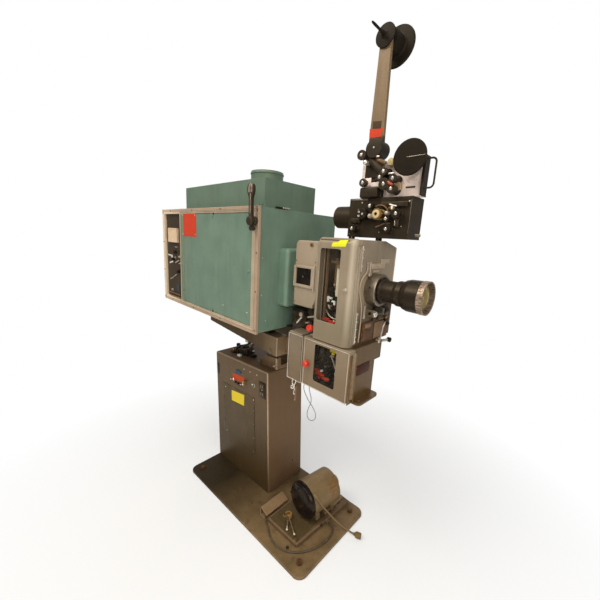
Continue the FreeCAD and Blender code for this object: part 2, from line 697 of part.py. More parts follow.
def make_lamp_cradle():
    """Posts from the lamphouse floor that clamp the lamp's two caps and the mirror's neck."""
    floor = "lamp_low + sheet"
    pieces = []
    for number, x in enumerate(("bulb_back + 8", "bulb_front - 30")):
        pieces.append(box("cradle_post%d" % number, (x, "axis_y - 9", floor),
                          (x + " + 18", "axis_y + 9", "axis_z - bulb_cap - 2")))
        pieces.append(rod("cradle_ring%d" % number, "bulb_cap + 9", "18", (x, "axis_y", "axis_z"), "x"))
    pieces.append(box("cradle_rail", ("bulb_back - 5", "axis_y - 30", floor),
                      ("bulb_front + 5", "axis_y + 30", "lamp_low + sheet + 10")))
    pieces.append(rod("mirror_holder", "mirror_hole + 24", "8",
                      ("mirror_rim - mirror_deep - mirror_thick - 8.5", "axis_y", "axis_z"), "x"))
    pieces.append(box("mirror_post", ("mirror_rim - mirror_deep - mirror_thick - 8.5", "axis_y - 16", floor),
                      ("mirror_rim - mirror_deep - mirror_thick - 0.5", "axis_y + 16",
                       "axis_z - mirror_hole")))
    bores = [rod("cradle_bore", "bulb_cap + 0.2", "bulb_front - bulb_back + 60",
                 ("bulb_back - 30", "axis_y", "axis_z"), "x")]
    sub_part("lamp_cradle", cut("cradle_cut", join("cradle_joined", pieces), bores), tilted())


def make_lamp_door():
    """Folded pan that fills the frame's opening; its hinge edge is its local origin."""
    long = "frame_front - frame_stile - divider_x - 5 - 2*door_gap"
    tall = "frame_high - frame_low - 2*frame_rail - 2*door_gap"
    outer = box("door_outer", (0, 0, 0), (long, "door_deep", tall))
    inner = box("door_inner", (2, 2, 2), (long + " - 2", "door_deep + 5", tall + " - 2"))
    pan = cut("door_pan", outer, [inner])
    knuckle = rod("door_knuckle", "3", tall, ("-1.5", "-3", 0), "z")
    leaf = box("door_leaf", ("-1.5", "-2", 0), ("20", 0, tall))
    stud_xs = ("(%s)*0.5" % long, "(%s)*0.5" % long, "(%s) - 20" % long)
    stud_zs = ("(%s) - 12" % tall, "12", "(%s)*0.5" % tall)
    studs = [rod("door_stud%d" % i, "6", "3", (x, "-3", z), "y")
             for i, (x, z) in enumerate(zip(stud_xs, stud_zs))]
    door = join("door_joined", [pan, knuckle, leaf] + studs)
    place = tilted(size("divider_x") + 5 + size("door_gap"), size("door_face"),
                   size("frame_low") + size("frame_rail") + size("door_gap"))
    sub_part("lamp_door", door, place)


def make_douser():
    """Handle, cross shaft and blade as one turning piece; the shaft is its local Y axis."""
    face = size("frame_face")
    profile = [(0, -1), (16, -1), (17.5, -3), (17.5, -11), (16, -13), (11, -14), (11, -21), (16, -22),
               (17.5, -24), (17.5, -30), (15.5, -33.5), (9, -35.5), (0, -36)]
    hub = turned("douser_hub", profile, "y")
    hub.Placement = Placement(Vector(0, face, 0), hub.Placement.Rotation)
    grip = body("lever_grip")
    corners = [(-9, 0), (9, 0), (8, 40), (7.5, 80), (11, 90), (16.5, 101), (18, 112), (16.5, 123), (11, 132),
               (0, 136), (-11, 132), (-16.5, 123), (-18, 112), (-16.5, 101), (-11, 90), (-7.5, 80), (-8, 40)]
    pad(grip, outline(grip, "XZ_Plane", corners, "lever_outline"), 12, "lever_pad")
    grip.Placement = Placement(Vector(0, face - 15, 0), Rotation(Vector(0, 1, 0), -1))
    eye = [rod("lever_eye%d" % i, "8", "40", (-2, str(face - 40), z), "y") for i, z in enumerate((106, 118))]
    eye.append(box("lever_eye_middle", (-10, str(face - 40), 106), (6, str(face), 118)))
    tail = rod("lever_tail", "9", "16", (0, str(face - 24), -27), "y")
    web = box("lever_web", (-5, str(face - 22), -26), (5, str(face - 10), 0))
    shaft = rod("lever_shaft_rod", "lever_shaft", "lamp_far - frame_face", (0, str(face - 4), 0), "y")
    arm = box("douser_arm", (-1.5, -30, -130), (1.5, 0, 0))
    blade = box("douser_blade", (-1.5, -105, -313), (1.5, 75, -120))
    handle = cut("lever_handle", join("lever_solid", [hub, grip, tail, web]), eye)
    place = tilted(size("lever_x"), 0, size("lever_z"))
    sub_part("douser_lever", join("douser_joined", [handle, shaft, arm, blade]), place)


def make_shutter_housing():
    """Cast box round the shutter, with a framed viewing window to the operator's side."""
    owner = body("shutter_case")
    corners = [("shut_back", "shut_low"), ("shut_front - 17", "shut_low"), ("shut_front", "shut_low + 38"),
               ("shut_front", "shut_high"), ("shut_back", "shut_high")]
    case = pad(owner, outline(owner, "XZ_Plane", corners, "shutter_outline"), "shut_far - shut_near",
               "shutter_block")
    back = size("shut_back")
    high = size("shut_high")
    capped = soften(owner, case, 20, lambda edge: runs_along(edge, "y") and near(edge.CenterOfMass.x, back)
                    and near(edge.CenterOfMass.z, high), "shutter_top_round")
    doc.recompute()
    front = capped.Shape.BoundBox.YMin
    soften(owner, capped, 5, lambda edge: near(edge.BoundBox.YMax, front), "shutter_near_round")
    owner.Placement = upright(0, size("shut_far"), 0)
    room = box("shutter_room", ("shut_back + 3", "shut_near + 3", "shut_low + 3"),
               ("shut_front - 3", "shut_far - 3", "shut_high - 18"))
    bevel_keep = box("shutter_bevel", ("shut_front - 22", "shut_near", "shut_low"),
                     ("shut_front - 3", "shut_far", "shut_low + 42"))
    room = cut("shutter_room_cut", room, [bevel_keep])
    beam = rod("shutter_beam", "36", "200", ("shut_back - 10", "axis_y", "axis_z"), "x")
    shaft = rod("shutter_shaft_hole", "6 + running_gap", "30", ("shut_front - 15", "blade_y", "axis_z"), "x")
    window = box("shutter_window", ("308", "shut_near - 20", "1240"), ("388", "shut_near + 10", "1304"))
    frame = box("shutter_frame", ("297", "shut_near - 8", "1230"), ("399", "shut_near", "1312"))
    solid = join("shutter_framed", [owner, frame])
    sub_part("shutter_housing", cut("shutter_cut", solid, [room, beam, shaft, window]), tilted())


def make_shutter_disc():
    """Two-blade shutter on its shaft; the shaft is the local X axis."""
    disc = rod("shutter_plate", "blade_rad", "2", ("-1", 0, 0), "x")
    sectors = []
    for number in range(2):
        sector = rod("shutter_gap%d" % number, "blade_rad + 5", "6", ("-3", 0, 0), "x")
        sector.Angle = 90
        sector.Placement = Placement(Vector(-3, 0, 0),
                                     Rotation(Vector(1, 0, 0), 180 * number).multiply(TURNS["x"]))
        sectors.append(sector)
    hub_keep = rod("shutter_hub", "22", "14", ("-7", 0, 0), "x")
    shaft = rod("shutter_shaft", "6", "92", ("-18", 0, 0), "x")
    whole = join("shutter_disc_solid", [cut("shutter_blades", disc, sectors), hub_keep, shaft])
    sub_part("shutter_disc", whole, tilted(352, size("blade_y"), size("axis_z")))


def make_head_casting():
    """Projector head: film compartment open to the operator and the gear case behind it."""
    owner = body("head_block")
    corners = [("head_near", "head_low"), ("head_far", "head_low"), ("head_far", "head_high - 25"),
               ("head_far - 100", "head_high"), ("head_near", "head_high")]
    block = pad(owner, outline(owner, "YZ_Plane", corners, "head_outline"), "head_front - head_back",
                "head_pad")
    far = size("head_far")
    soften(owner, block, 12, lambda edge: (runs_along(edge, "x") or runs_along(edge, "z"))
           and near(edge.CenterOfMass.y, far), "head_round")
    owner.Placement = upright(size("head_back"), 0, 0)
    rear = box("head_rear_block", ("330", "-80", "head_low"), ("head_back", "120", "shut_low"))
    drive = box("head_drive_case", ("240", "-80", "head_low"), ("331", "118", "head_low + 78"))
    skirt = box("head_drive_skirt", ("240", "-78", "head_low - 26"), ("284", "100", "head_low + 1"))
    boss = rod("framing_boss", "9", "52", ("399", "-128", "1078"), "y")
    lug_y = ("-47", "24")
    lugs = [box("focus_lug%d" % i, ("head_front", y, "1152"), ("head_front + 34", y + " + 7", "1178"))
            for i, y in enumerate(lug_y)]
    solid = join("head_solid", [owner, rear, drive, skirt, boss] + lugs)
    room = box("head_room", ("head_back + head_wall", "head_near - 5", "head_low + head_wall"),
               ("head_front - head_wall", "film_wall", "head_high - 10"))
    gears = box("head_gear_room", ("head_back + head_wall", "film_wall + 10", "head_low + head_wall"),
                ("head_front - head_wall", "head_far - head_wall - 4", "head_high - 40"))
    beam = rod("head_beam", "32", "40", ("head_back - 20", "axis_y", "axis_z"), "x")
    lens_hole = rod("head_lens_hole", "barrel_rad + 4", "105", ("head_front - 85", "axis_y", "axis_z"), "x")
    slots = [box("head_film_slot%d" % i, ("450", "axis_y - 22", z + " - 20"),
                 ("500", "axis_y + 22", z + " + 20"))
             for i, z in enumerate(("head_low", "head_high"))]
    shutter_bore = rod("head_shutter_bore", "6 + running_gap", "30", ("head_back - 8", "blade_y", "axis_z"),
                       "x")
    feed_bore = rod("head_feed_bore", "6 + running_gap", "30", ("feed_x", "film_wall - 5", "feed_z"), "y")
    still_bore = rod("head_step_bore", "6 + running_gap", "30", ("step_x", "film_wall - 5", "step_z"), "y")
    frame_bore = rod("head_framing_bore", "5 + running_gap", "100", ("399", "-140", "1078"), "y")
    focus_bore = rod("head_focus_bore", "5 + running_gap", "90", ("597", "-50", "1165"), "y")
    tools = [room, gears, beam, lens_hole, shutter_bore, feed_bore, still_bore, frame_bore,
             focus_bore] + slots
    sub_part("head_casting", cut("head_cut", solid, tools), tilted())


def cover(name, low, high, window, hinge_side_round, top_round):
    """Pan-shaped door with its front edge rounded, a window and open back."""
    owner = body(name + "_cover")
    corners = [(low[0], 0), (high[0], 0), (high[0], "head_near - cover_near"),
               (low[0], "head_near - cover_near")]
    block = pad(owner, outline(owner, "XY_Plane", corners, name + "_outline"),
                "(%s) - (%s)" % (high[1], low[1]),
                name + "_pad")
    doc.recompute()
    front = block.Shape.BoundBox.XMax
    back = block.Shape.BoundBox.XMin
    front_edge = soften(owner, block, hinge_side_round, lambda edge: runs_along(edge, "z")
                        and near(edge.CenterOfMass.x, front) and near(edge.CenterOfMass.y, 0), name + "_edge")
    doc.recompute()
    deep = front_edge.Shape.BoundBox.YMax
    tall = front_edge.Shape.BoundBox.ZMax
    soften(owner, front_edge, top_round, lambda edge: edge.BoundBox.YMax < deep - 1
           and near(edge.BoundBox.ZMin, tall) and not runs_along(edge, "y"), name + "_top")
    wall = size("cover_wall")
    inside = body(name + "_inside")
    inner = [(low[0] + " + cover_wall", "cover_wall"), (high[0] + " - cover_wall", "cover_wall"),
             (high[0] + " - cover_wall", 80), (low[0] + " + cover_wall", 80)]
    hollow = pad(inside, outline(inside, "XY_Plane", inner, name + "_inner"),
                 "(%s) - (%s) - 2*cover_wall" % (high[1], low[1]), name + "_hollow")
    inner_edge = soften(inside, hollow, "(%s) - cover_wall" % hinge_side_round,
                        lambda edge: runs_along(edge, "z")
                        and near(edge.CenterOfMass.x, front - wall) and near(edge.CenterOfMass.y, wall),
                        name + "_inner_edge")
    if top_round > wall + 1:
        doc.recompute()
        ceiling = inner_edge.Shape.BoundBox.ZMax
        soften(inside, inner_edge, top_round - wall, lambda edge: near(edge.BoundBox.ZMin, ceiling)
               and near(edge.BoundBox.YMin, wall) and runs_along(edge, "x"), name + "_inner_top")
    inside.Placement = upright(0, 0, wall)
    pane = body(name + "_pane")
    x_low, z_low, x_high, z_high = window
    hole = [(x_low, z_low), (x_high, z_low), (x_high, z_high), (x_low, z_high)]
    opening = pad(pane, outline(pane, "XZ_Plane", hole, name + "_window"), 30, name + "_window_pad")
    soften(pane, opening, 9, lambda edge: runs_along(edge, "y"), name + "_window_corners")
    pane.Placement = upright(0, 15, 0)
    return owner, inside, pane


def make_head_door():
    low, high = ("418", "head_low + 2"), ("head_front", "head_high + 2")
    window = (427, 76, 519, 342)
    owner, inside, pane = cover("head_door", low, high, window, "cover_round", 22)
    hinge = rod("head_hinge", "4", "head_high - head_low - 40",
                ("head_front + 3.5", "head_near - cover_near - 4", 12),
                "z")
    leaf = box("head_leaf", ("head_front - 1", "head_near - cover_near - 16", 12),
               ("head_front + 3", "head_near - cover_near - 2", "head_high - head_low - 28"))
    solid = cut("head_door_cut", join("head_door_solid", [owner, hinge, leaf]), [inside, pane])
    catch = rod("head_door_catch", "5", "8", ("552", "-7", "205"), "y")
    door = join("head_door_joined", [solid, catch])
    sub_part("head_door", door, tilted(0, size("cover_near"), size("head_low") + 2))


def make_door_glass(label, low, high):
    """A pane behind a door's window, against the inside of its wall."""
    glass = box(label + "_pane", (low[0], "cover_near + cover_wall", low[1]),
                (high[0], "cover_near + cover_wall + 3", high[1]))
    sub_part(label, group(label + "_group", [glass]), tilted())


def make_film_gate():
    """Runner plate with the picture aperture and two side rails."""
    plate = box("gate_plate", ("452", "axis_y - 32", "1192"), ("456", "film_wall", "1306"))
    aperture = box("gate_aperture", ("440", "axis_y - 10.5", "axis_z - 7.6"),
                   ("470", "axis_y + 10.5", "axis_z + 7.6"))
    foot = box("gate_foot", ("456", "film_wall - 5", "1200"), ("470", "film_wall", "1298"))
    sub_part("film_gate", join("gate_joined", [cut("gate_cut", plate, [aperture]), foot]), tilted())


def make_sprocket(label, teeth, spot):
    """Film sprocket: two toothed rims on a turned hub, its shaft along local Y."""
    pitch = 4.75
    radius = teeth * pitch / (2 * math.pi)
    profile = [(0, 26), (6, 26), (6, 5), (radius - 3, 5), (radius - 3, -0.5), (radius, -0.5), (radius, -6.5),
               (radius - 2, -6.5), (radius - 2, -28.5), (radius, -28.5), (radius, -34.5), (radius - 4, -34.5),
               (radius - 4, -37), (0, -37)]
    wheel = turned(label + "_wheel", profile, "y")
    rows = []
    for row, y in enumerate((-3.5, -31.5)):
        for tooth in range(teeth):
            angle = 360.0 * tooth / teeth
            peg = doc.addObject("Part::Cone", "%s_tooth%d_%d" % (label, row, tooth))
            peg.Radius1, peg.Radius2, peg.Height = 1.1, 0.6, 2.2
            turn = Rotation(Vector(0, 1, 0), angle)
            peg.Placement = Placement(turn.multVec(Vector(0, 0, radius - 0.4)) + Vector(0, y, 0), turn)
            rows.append(peg)
    sub_part(label, join(label + "_joined", [wheel] + rows), tilted(*spot))


def make_framing_knob():
    """Red knob on a stub shaft; the shaft is the local Y axis."""
    profile = [(0, 84), (5, 84), (5, 0), (10, 0), (13, -4), (13.5, -14), (11, -19), (0, -20)]
    sub_part("framing_knob", turned("framing_turned", profile, "y"), tilted(399, -134, 1078))


def make_lens_drum():
    """Lens holder bolted to the head's front; X from its back face."""
    profile = [(0, "barrel_rad + running_gap"), (0, "drum_rad"), ("drum_long - 3", "drum_rad"),
               ("drum_long", "drum_rad - 3"), ("drum_long", "drum_rad - 10"), (26, "drum_rad - 10"),
               (26, "barrel_rad + running_gap")]
    sub_part("lens_drum", turned("drum_turned", profile, "x"),
             tilted(size("head_front"), size("axis_y"), size("axis_z")))


def make_lens_barrel():
    """Black projection lens: sliding tube, collar, flared front and rim; bored through."""
    tube, rim, front = "barrel_rad", "lens_rim_rad", "lens_front"
    profile = [(505, "barrel_rad - 8"), (505, tube), (620, tube), (620, tube + " + 5"), (630, tube + " + 5"),
               (630, tube), (672, tube), (684, tube + " + 5"), (700, tube + " + 5"), (708, tube + " + 11"),
               (722, tube + " + 15"), (763, rim + " - 1"), (765, rim), (front, rim), (front, rim + " - 5"),
               (762, rim + " - 5"),
               (762, "barrel_rad + 2"), (700, "barrel_rad - 8")]
    sub_part("lens_barrel", turned("barrel_turned", profile, "x"), tilted(0, size("axis_y"), size("axis_z")))


def make_lens_glass():
    """Front and rear elements, each a thick bulged disc inside the barrel."""
    front = [(763, 0), (763, "lens_rim_rad - 5.2"), (767, "lens_rim_rad - 5.2"), (772, 38), (775.5, 22),
             (777, 0)]
    rear = [(512, 0), (508, 18), (514, "barrel_rad - 8.2"), (520, "barrel_rad - 8.2"), (520, 0)]
    elements = [turned("front_element", front, "x"), turned("rear_element", rear, "x")]
    sub_part("lens_glass", group("lens_glass_group", elements), tilted(0, size("axis_y"), size("axis_z")))


def make_focus_knob():
    """Chromed grip and black knob on the focusing shaft; the shaft is the local Y axis."""
    profile = [(0, -52), (5, -52), (5, -39), (13, -38), (14, -34), (14, 14), (13, 18), (5, 19), (5, 36),
               (16, 38), (17.5, 42), (17.5, 62), (15, 66), (0, 67)]
    sub_part("focus_knob", turned("focus_turned", profile, "y"), tilted(597, 0, 1165))


def make_soundhead():
    """Sound casting: compartment with a bolting flange, top ledge and a side box."""
    main = box("sound_block", ("sound_back", "head_near", "sound_low"),
               ("sound_front", "sound_far", "head_low"))
    ledge = box("sound_ledge", ("sound_back", "sound_far", "968"), ("sound_front", "72", "head_low"))
    side = box("sound_side", ("side_back", "cover_near", "sound_low"), ("side_front", "20", "head_low"))
    neck = box("sound_neck", ("side_front", "-100", "sound_low + 20"), ("sound_back", "10", "head_low - 20"))
    foot = body("sound_foot")
    corners = [(560, -108), (628, -108), (628, "sound_far"), (560, "sound_far")]
    flange = pad(foot, outline(foot, "XY_Plane", corners, "foot_outline"), 8, "foot_pad")
    soften(foot, flange, 18, lambda edge: runs_along(edge, "z") and near(edge.CenterOfMass.x, 628),
           "foot_round")
    foot.Placement = upright(0, 0, size("sound_low") - 8)
    room = box("sound_room", ("sound_back + head_wall", "head_near - 5", "sound_low + head_wall"),
               ("sound_front - head_wall", "film_wall", "head_low - head_wall"))
    side_room = box("side_room", ("side_back + 4", "cover_near + 4", "sound_low + 4"),
                    ("side_front - 4", "16", "head_low - 4"))
    film_slot = box("film_slot", ("450", "axis_y - 22", "head_low - 20"),
                    ("500", "axis_y + 22", "head_low + 20"))
    foot_hole = rod("foot_hole", "6", "30", ("612", "-84", "sound_low - 15"), "z")
    drum_bore = rod("sound_drum_bore", "7 + running_gap", "40", ("472", "film_wall - 5", "948"), "y")
    solid = join("sound_solid", [main, ledge, side, neck, foot])
    sub_part("soundhead_casting", cut("sound_cut", solid, [room, side_room, film_slot, foot_hole, drum_bore]),
             tilted())


def make_soundhead_door():
    low, high = ("373", "sound_low + 3"), ("sound_front", "head_low - 3")
    window = (432, 30, 536, 182)
    owner, inside, pane = cover("sound_door", low, high, window, "8", 4)
    tall = "head_low - sound_low - 26"
    hinge = rod("sound_hinge", "4", tall, ("sound_front + 3.5", "head_near - cover_near - 4", 10), "z")
    leaf = box("sound_leaf", ("sound_front - 1", "head_near - cover_near - 16", 10),
               ("sound_front + 3", "head_near - cover_near - 2", tall + " + 10"))
    hole = rod("latch_hole", "5 + running_gap", "20", ("399", "-5", "91"), "y")
    solid = cut("sound_door_cut", join("sound_door_solid", [owner, hinge, leaf]), [inside, pane, hole])
    sub_part("soundhead_door", solid, tilted(0, size("cover_near"), size("sound_low") + 3))


def make_latch_knob():
    """Red latch knob through the soundhead door; its shaft is the local Y axis."""
    stem = turned("latch_turned",
                  [(0, 14), (5, 14), (5, 0), (11, 0), (13, -3), (13, -15), (10, -18), (0, -18)],
                  "y")
    tongue = box("latch_tongue", (-16, 10, -4), (0, 13, 4))
    sub_part("latch_knob", join("latch_joined", [stem, tongue]), tilted(399, size("cover_near") - 0.3,
                                                                       size("sound_low") + 94))


def make_sound_drum():
    """Smooth scanning drum with its flywheel behind the casting's wall, about local Y."""
    profile = [(0, 34), (7, 34), (7, 0), (12, 0), (20, -4), (20, -10), (18, -10), (18, -28), (20, -28),
               (20, -33), (9, -38), (0, -38)]
    sub_part("sound_drum", turned("sound_drum_turned", profile, "y"), tilted(472, 6, 948))


def make_reader_box():
    """Lower sound reader: black case with a lamp drum at its back end and four feet."""
    case = box("reader_case", ("reader_back", "reader_near", "reader_low"),
               ("reader_front", "reader_far", "reader_high"))
    inner = box("reader_inner", ("reader_back + 4", "reader_near + 4", "reader_low + 4"),
                ("reader_front - 4", "reader_far - 4", "reader_high - 4"))
    lamp = rod("reader_lamp", "43", "80", ("reader_back - 78", "reader_near + 45", "1507"), "x")
    lamp_hollow = rod("reader_lamp_hollow", "39", "90", ("reader_back - 72", "reader_near + 45", "1507"), "x")
    feet = []
    for i, x in enumerate((436, 556)):
        for j, y in enumerate((18, 40)):
            feet.append(rod("reader_foot%d%d" % (i, j), "6", "reader_low - head_high + 1",
                            (x, y, "head_high"), "z"))
    bore = rod("reader_bore", "6 + running_gap", "20", ("571", "reader_near - 8", "1512"), "y")
    solid = join("reader_solid", [case, lamp] + feet)
    sub_part("reader_box", cut("reader_cut", solid, [inner, lamp_hollow, bore]), tilted())


def make_upper_reader():
    """Upper sound reader: pale wall, dark end wall, block, bearing boss and brake drum."""
    low = "reader_high"
    wall = box("upper_wall", ("upper_back", "25", low), ("upper_front", "31", "upper_high"))
    end = box("upper_end", ("upper_front", "2", low), ("upper_front + 10", "31", "upper_high"))
    block = box("upper_block", ("478", "4", low), ("558", "25", "1624"))
    boss = rod("upper_boss", "14", "12", ("fly_x", "13", "fly_z"), "y")
    foot = box("upper_foot", ("upper_back", "25", low), ("upper_front", "56", low + " + 5"))
    bore = rod("upper_bore", "5 + running_gap", "40", ("fly_x", "0", "fly_z"), "y")
    solid = join("upper_solid", [wall, end, block, boss, foot])
    sub_part("upper_reader", cut("upper_cut", solid, [bore]), tilted())


def make_flywheel():
    profile = [(0, 38), (5, 38), (5, -12), (20, -12), (22, -20), ("fly_rad - 3", -20), ("fly_rad", -22),
               ("fly_rad", -26), ("fly_rad - 2", -28), (0, -29)]
    sub_part("flywheel_disc", turned("flywheel_turned", profile, "y"),
             tilted(size("fly_x"), 0, size("fly_z")))


def tube(name, points, radius):
    """A round tube along straight runs joined by arcs as wide as the runs allow."""
    points = [Vector(*p) for p in points]
    edges = []
    start = points[0]
    radii = []
    for before, here, after in zip(points, points[1:], points[2:]):
        back, ahead = (before - here), (after - here)
        turn = math.pi - back.getAngle(ahead)
        reach = 0.45 * min(back.Length, ahead.Length)
        radii.append(reach / math.tan(turn / 2))
        into, out = here + back.normalize() * reach, here + ahead.normalize() * reach
        height = radii[-1] / math.cos(turn / 2) - radii[-1]
        middle = here + (back + ahead).normalize() * height
        edges.append(Part.LineSegment(start, into).toShape())
        edges.append(Part.Arc(into, middle, out).toShape())
        start = out
    edges.append(Part.LineSegment(start, points[-1]).toShape())
    path = Part.Wire(edges)
    direction = (points[1] - points[0]).normalize()
    circle = Part.Wire([Part.Circle(points[0], direction, radius).toShape()])
    solid = path.makePipeShell([circle], True, False)
    expected = math.pi * radius ** 2 * path.Length
    print("%s: length %.0f mm, least radius %.1f mm, volume ratio %.4f"
          % (name, path.Length, min(radii) if radii else 0, solid.Volume / expected))
    piece = doc.addObject("Part::Feature", name)
    piece.Shape = solid
    return piece


def make_grab_handle():
    """Bent rod handle on the upper reader's end wall."""
    wall = size("upper_front") + 10
    points = [(wall, 8, 1594), (wall + 29, 8, 1594), (wall + 29, 8, 1682), (wall, 8, 1682)]
    sub_part("grab_handle", tube("grab_handle_rod", points, 3), tilted())


def make_reel_arm():
    """Tapered box arm with a brake drum at its foot, bored for the reel spindle."""
    owner = body("arm_side")
    corners = [("arm_x - 31", "arm_low"), ("arm_x + 31", "arm_low"), ("arm_x + 20", "spindle_z + 14"),
               ("arm_x - 20", "spindle_z + 14")]
    flat = pad(owner, outline(owner, "XZ_Plane", corners, "arm_outline"), 14, "arm_pad")
    top = size("spindle_z") + 14
    soften(owner, flat, 12, lambda edge: runs_along(edge, "y") and near(edge.CenterOfMass.z, top), "arm_end")
    owner.Placement = upright(0, 25, 0)
    groove = body("arm_groove")
    inner = [("arm_x - 26", "arm_low + 130"), ("arm_x + 26", "arm_low + 130"),
             ("arm_x + 17", "spindle_z - 30"),
             ("arm_x - 17", "spindle_z - 30")]
    pad(groove, outline(groove, "XZ_Plane", inner, "arm_inner"), 20, "arm_groove_pad")
    groove.Placement = upright(0, 35, 0)
    drum = rod("arm_drum", "31", "58", ("arm_x + 9", "-13", "1733"), "y")
    bore = rod("arm_bore", "spindle_rad + running_gap", "40", ("arm_x", "5", "spindle_z"), "y")
    solid = cut("arm_cut", join("arm_joined", [owner, drum]), [groove, bore])
    sub_part("reel_arm", solid, tilted())


def make_reel_spindle():
    """Reel shaft with its plate in front of the arm and the brake hub behind, about local Y."""
    profile = [(0, 88), (8, 88), (8, 92), (63, 92), (65, 90), (65, 86), (61, 83), (40, 80), (35, 76),
               (34, 26),
               ("spindle_rad", 26), ("spindle_rad", 10), (34, 9), (35, 7), (35, 4), (12, 1), (7, -4),
               (5, -20),
               (4, -24), (4, -64), (3.6, -66), (3.4, -73), (2, -77), (0, -77)]
    sub_part("reel_spindle", turned("spindle_turned", profile, "y"),
             tilted(size("arm_x"), 0, size("spindle_z")))


def make_motor():
    """Drive motor on the base: turned shell with a bored back, standing on two saddles."""
    length, radius = "motor_long", "motor_rad"
    shell = [("shaft_rad + running_gap", length), ("shaft_rad + running_gap", length + " - 14"),
             (radius + " - 8", length + " - 14"), (radius + " - 8", "bell_deep"), (radius, "bell_deep"),
             (radius, length + " - 10"),
             (radius + " - 14", length)]
    frame = turned("motor_shell", shell, "y")
    saddles = [box("motor_saddle%d" % i, ("-62", y, "tray_top - motor_z"), ("62", y + 22, "-62"))
               for i, y in enumerate((64, 162))]
    trim = rod("motor_trim", "motor_rad - 2", "motor_long", ("0", "5", "0"), "y")
    feet = cut("motor_feet", join("motor_saddles", saddles), [trim])
    motor = join("motor_on_feet", [frame, feet])
    motor.Placement = askew()
    start, second = Vector(*LEAD_POINTS[0]), Vector(*LEAD_POINTS[1])
    heading = (second - start).normalize()
    gland = doc.addObject("Part::Cylinder", "cord_gland")
    gland.Radius, gland.Height = 8, 20
    gland.Placement = Placement(start - heading * 20, Rotation(Vector(0, 0, 1), heading))
    sub_part("motor_body", join("motor_joined", [motor, gland]), upright())


def make_end_bell():
    """Black domed end cover with three bolt heads, about local Y."""
    profile = [(0, "bell_deep"), ("bell_rad - 3", "bell_deep"), ("bell_rad", "bell_deep - 3"),
               ("bell_rad", "bell_deep - 13"), ("bell_rad - 3", 19), ("bell_rad - 12", 10),
               ("bell_rad - 28", 4),
               ("bell_rad - 48", 1), (0, 0)]
    dome = turned("bell_turned", profile, "y")
    bolts = []
    for number, degrees in enumerate((25, 100, 170)):
        angle = math.radians(degrees)
        place = ("%g" % (66 * math.cos(angle)), 1, "%g" % (66 * math.sin(angle)))
        bolts.append(rod("bell_bolt%d" % number, "5", "12", place, "y"))
    pocket = rod("bell_pocket", "shaft_rad + running_gap", "bell_deep", (0, 24, 0), "y")
    whole = cut("bell_cut", join("bell_joined", [dome] + bolts), [pocket])
    sub_part("motor_end_bell", whole, askew())


def make_rotor():
    """Rotor core, shaft and drive pulley as one turning piece, about local Y."""
    profile = [(0, 25), ("shaft_rad", 25), ("shaft_rad", 62), (62, 62), (62, 176), ("shaft_rad", 176),
               ("shaft_rad", 222), (30, 222), (30, 226), (27, 228), (27, 244), (30, 246), (30, 250), (0, 250)]
    sub_part("motor_rotor", turned("rotor_turned", profile, "y"), askew())


def make_motor_tray():
    """Cast tray that lies on the base plate under the motor, rounded at its corners."""
    owner = body("tray_body")
    corners = [(158, -150), (362, -150), (384, 224), (212, 236), (205, 60), (158, 52)]
    slab = pad(owner, outline(owner, "XY_Plane", corners, "tray_outline"), "tray_top - base_thick",
               "tray_slab")
    rounded = soften(owner, slab, 12, lambda edge: runs_along(edge, "z") and edge.CenterOfMass.x != 205,
                     "tray_corners")
    high = size("tray_top") - size("base_thick")
    soften(owner, rounded, 4, lambda edge: near(edge.BoundBox.ZMin, high), "tray_rim")
    owner.Placement = upright(0, 0, size("base_thick"))
    stud = rod("tray_stud", "8", "7", ("342", "-134", "tray_top"), "z")
    post = rod("lever_post", "8", "12", ("238", "-82", "tray_top - 1"), "z")
    socket = rod("cable_socket", "7.5", "24", ("360", "52", "21"), "x")
    sub_part("motor_tray", join("tray_joined", [owner, stud, post, socket]), upright())


def make_belt_guard():
    """Bent sheet guard beside the tray, foot and sloping top, with a cable gland on its foot."""
    owner = body("guard_side")
    corners = [(104, 0), (107, 0), (107, 38), (108, 43), (111, 46), (116, 45.4), (154, 27), (155, 30),
               (117, 48.4),
               (110, 49.6), (105.5, 45), (104, 39)]
    pad(owner, outline(owner, "XZ_Plane", corners, "guard_outline"), 146, "guard_pad")
    foot = box("guard_foot", (106, -146, 0), (150, -10, 2.5))
    gland = rod("guard_gland", "7.5", "26", (131, -75, 9.5), "y")
    sub_part("belt_guard", join("guard_joined", [owner, foot, gland]), upright(0, -6, size("base_thick")))


def make_levers():
    """Bronze hub with two steel levers that swing over the tray, about local Z."""
    hub = rod("lever_hub", "17", "18", (0, 0, 12), "z")
    bore = rod("lever_hub_bore", "8 + running_gap", "12.5", (0, 0, -1), "z")
    skirt = rod("lever_skirt", "13", "14", (0, 0, 0.5), "z")
    pieces = [hub, skirt]
    for number, (x, y) in enumerate([(42, -50), (84, -42)]):
        ends = Vector(x * 0.16, y * 0.16, 20), Vector(x, y, 8)
        reach = ends[1] - ends[0]
        arm = doc.addObject("Part::Cylinder", "lever_arm%d" % number)
        arm.Radius, arm.Height = 3, reach.Length
        arm.Placement = Placement(ends[0], Rotation(Vector(0, 0, 1), reach))
        pieces += [arm, ball("lever_end%d" % number, "5.5", (x, y, 8))]
    solid = cut("levers_cut", join("levers_joined", pieces), [bore])
    sub_part("motor_levers", solid, upright(238, -82, size("tray_top")))


LEAD_POINTS = [
    (353, -6, 176), (380, 6, 140), (408, 29, 98), (430, 47, 66), (455, 67, 40), (484, 84, 20), (504, 92, 14),
]


def make_motor_cord():
    sub_part("motor_cord", tube("motor_cord_tube", LEAD_POINTS, size("cord_rad")), upright())


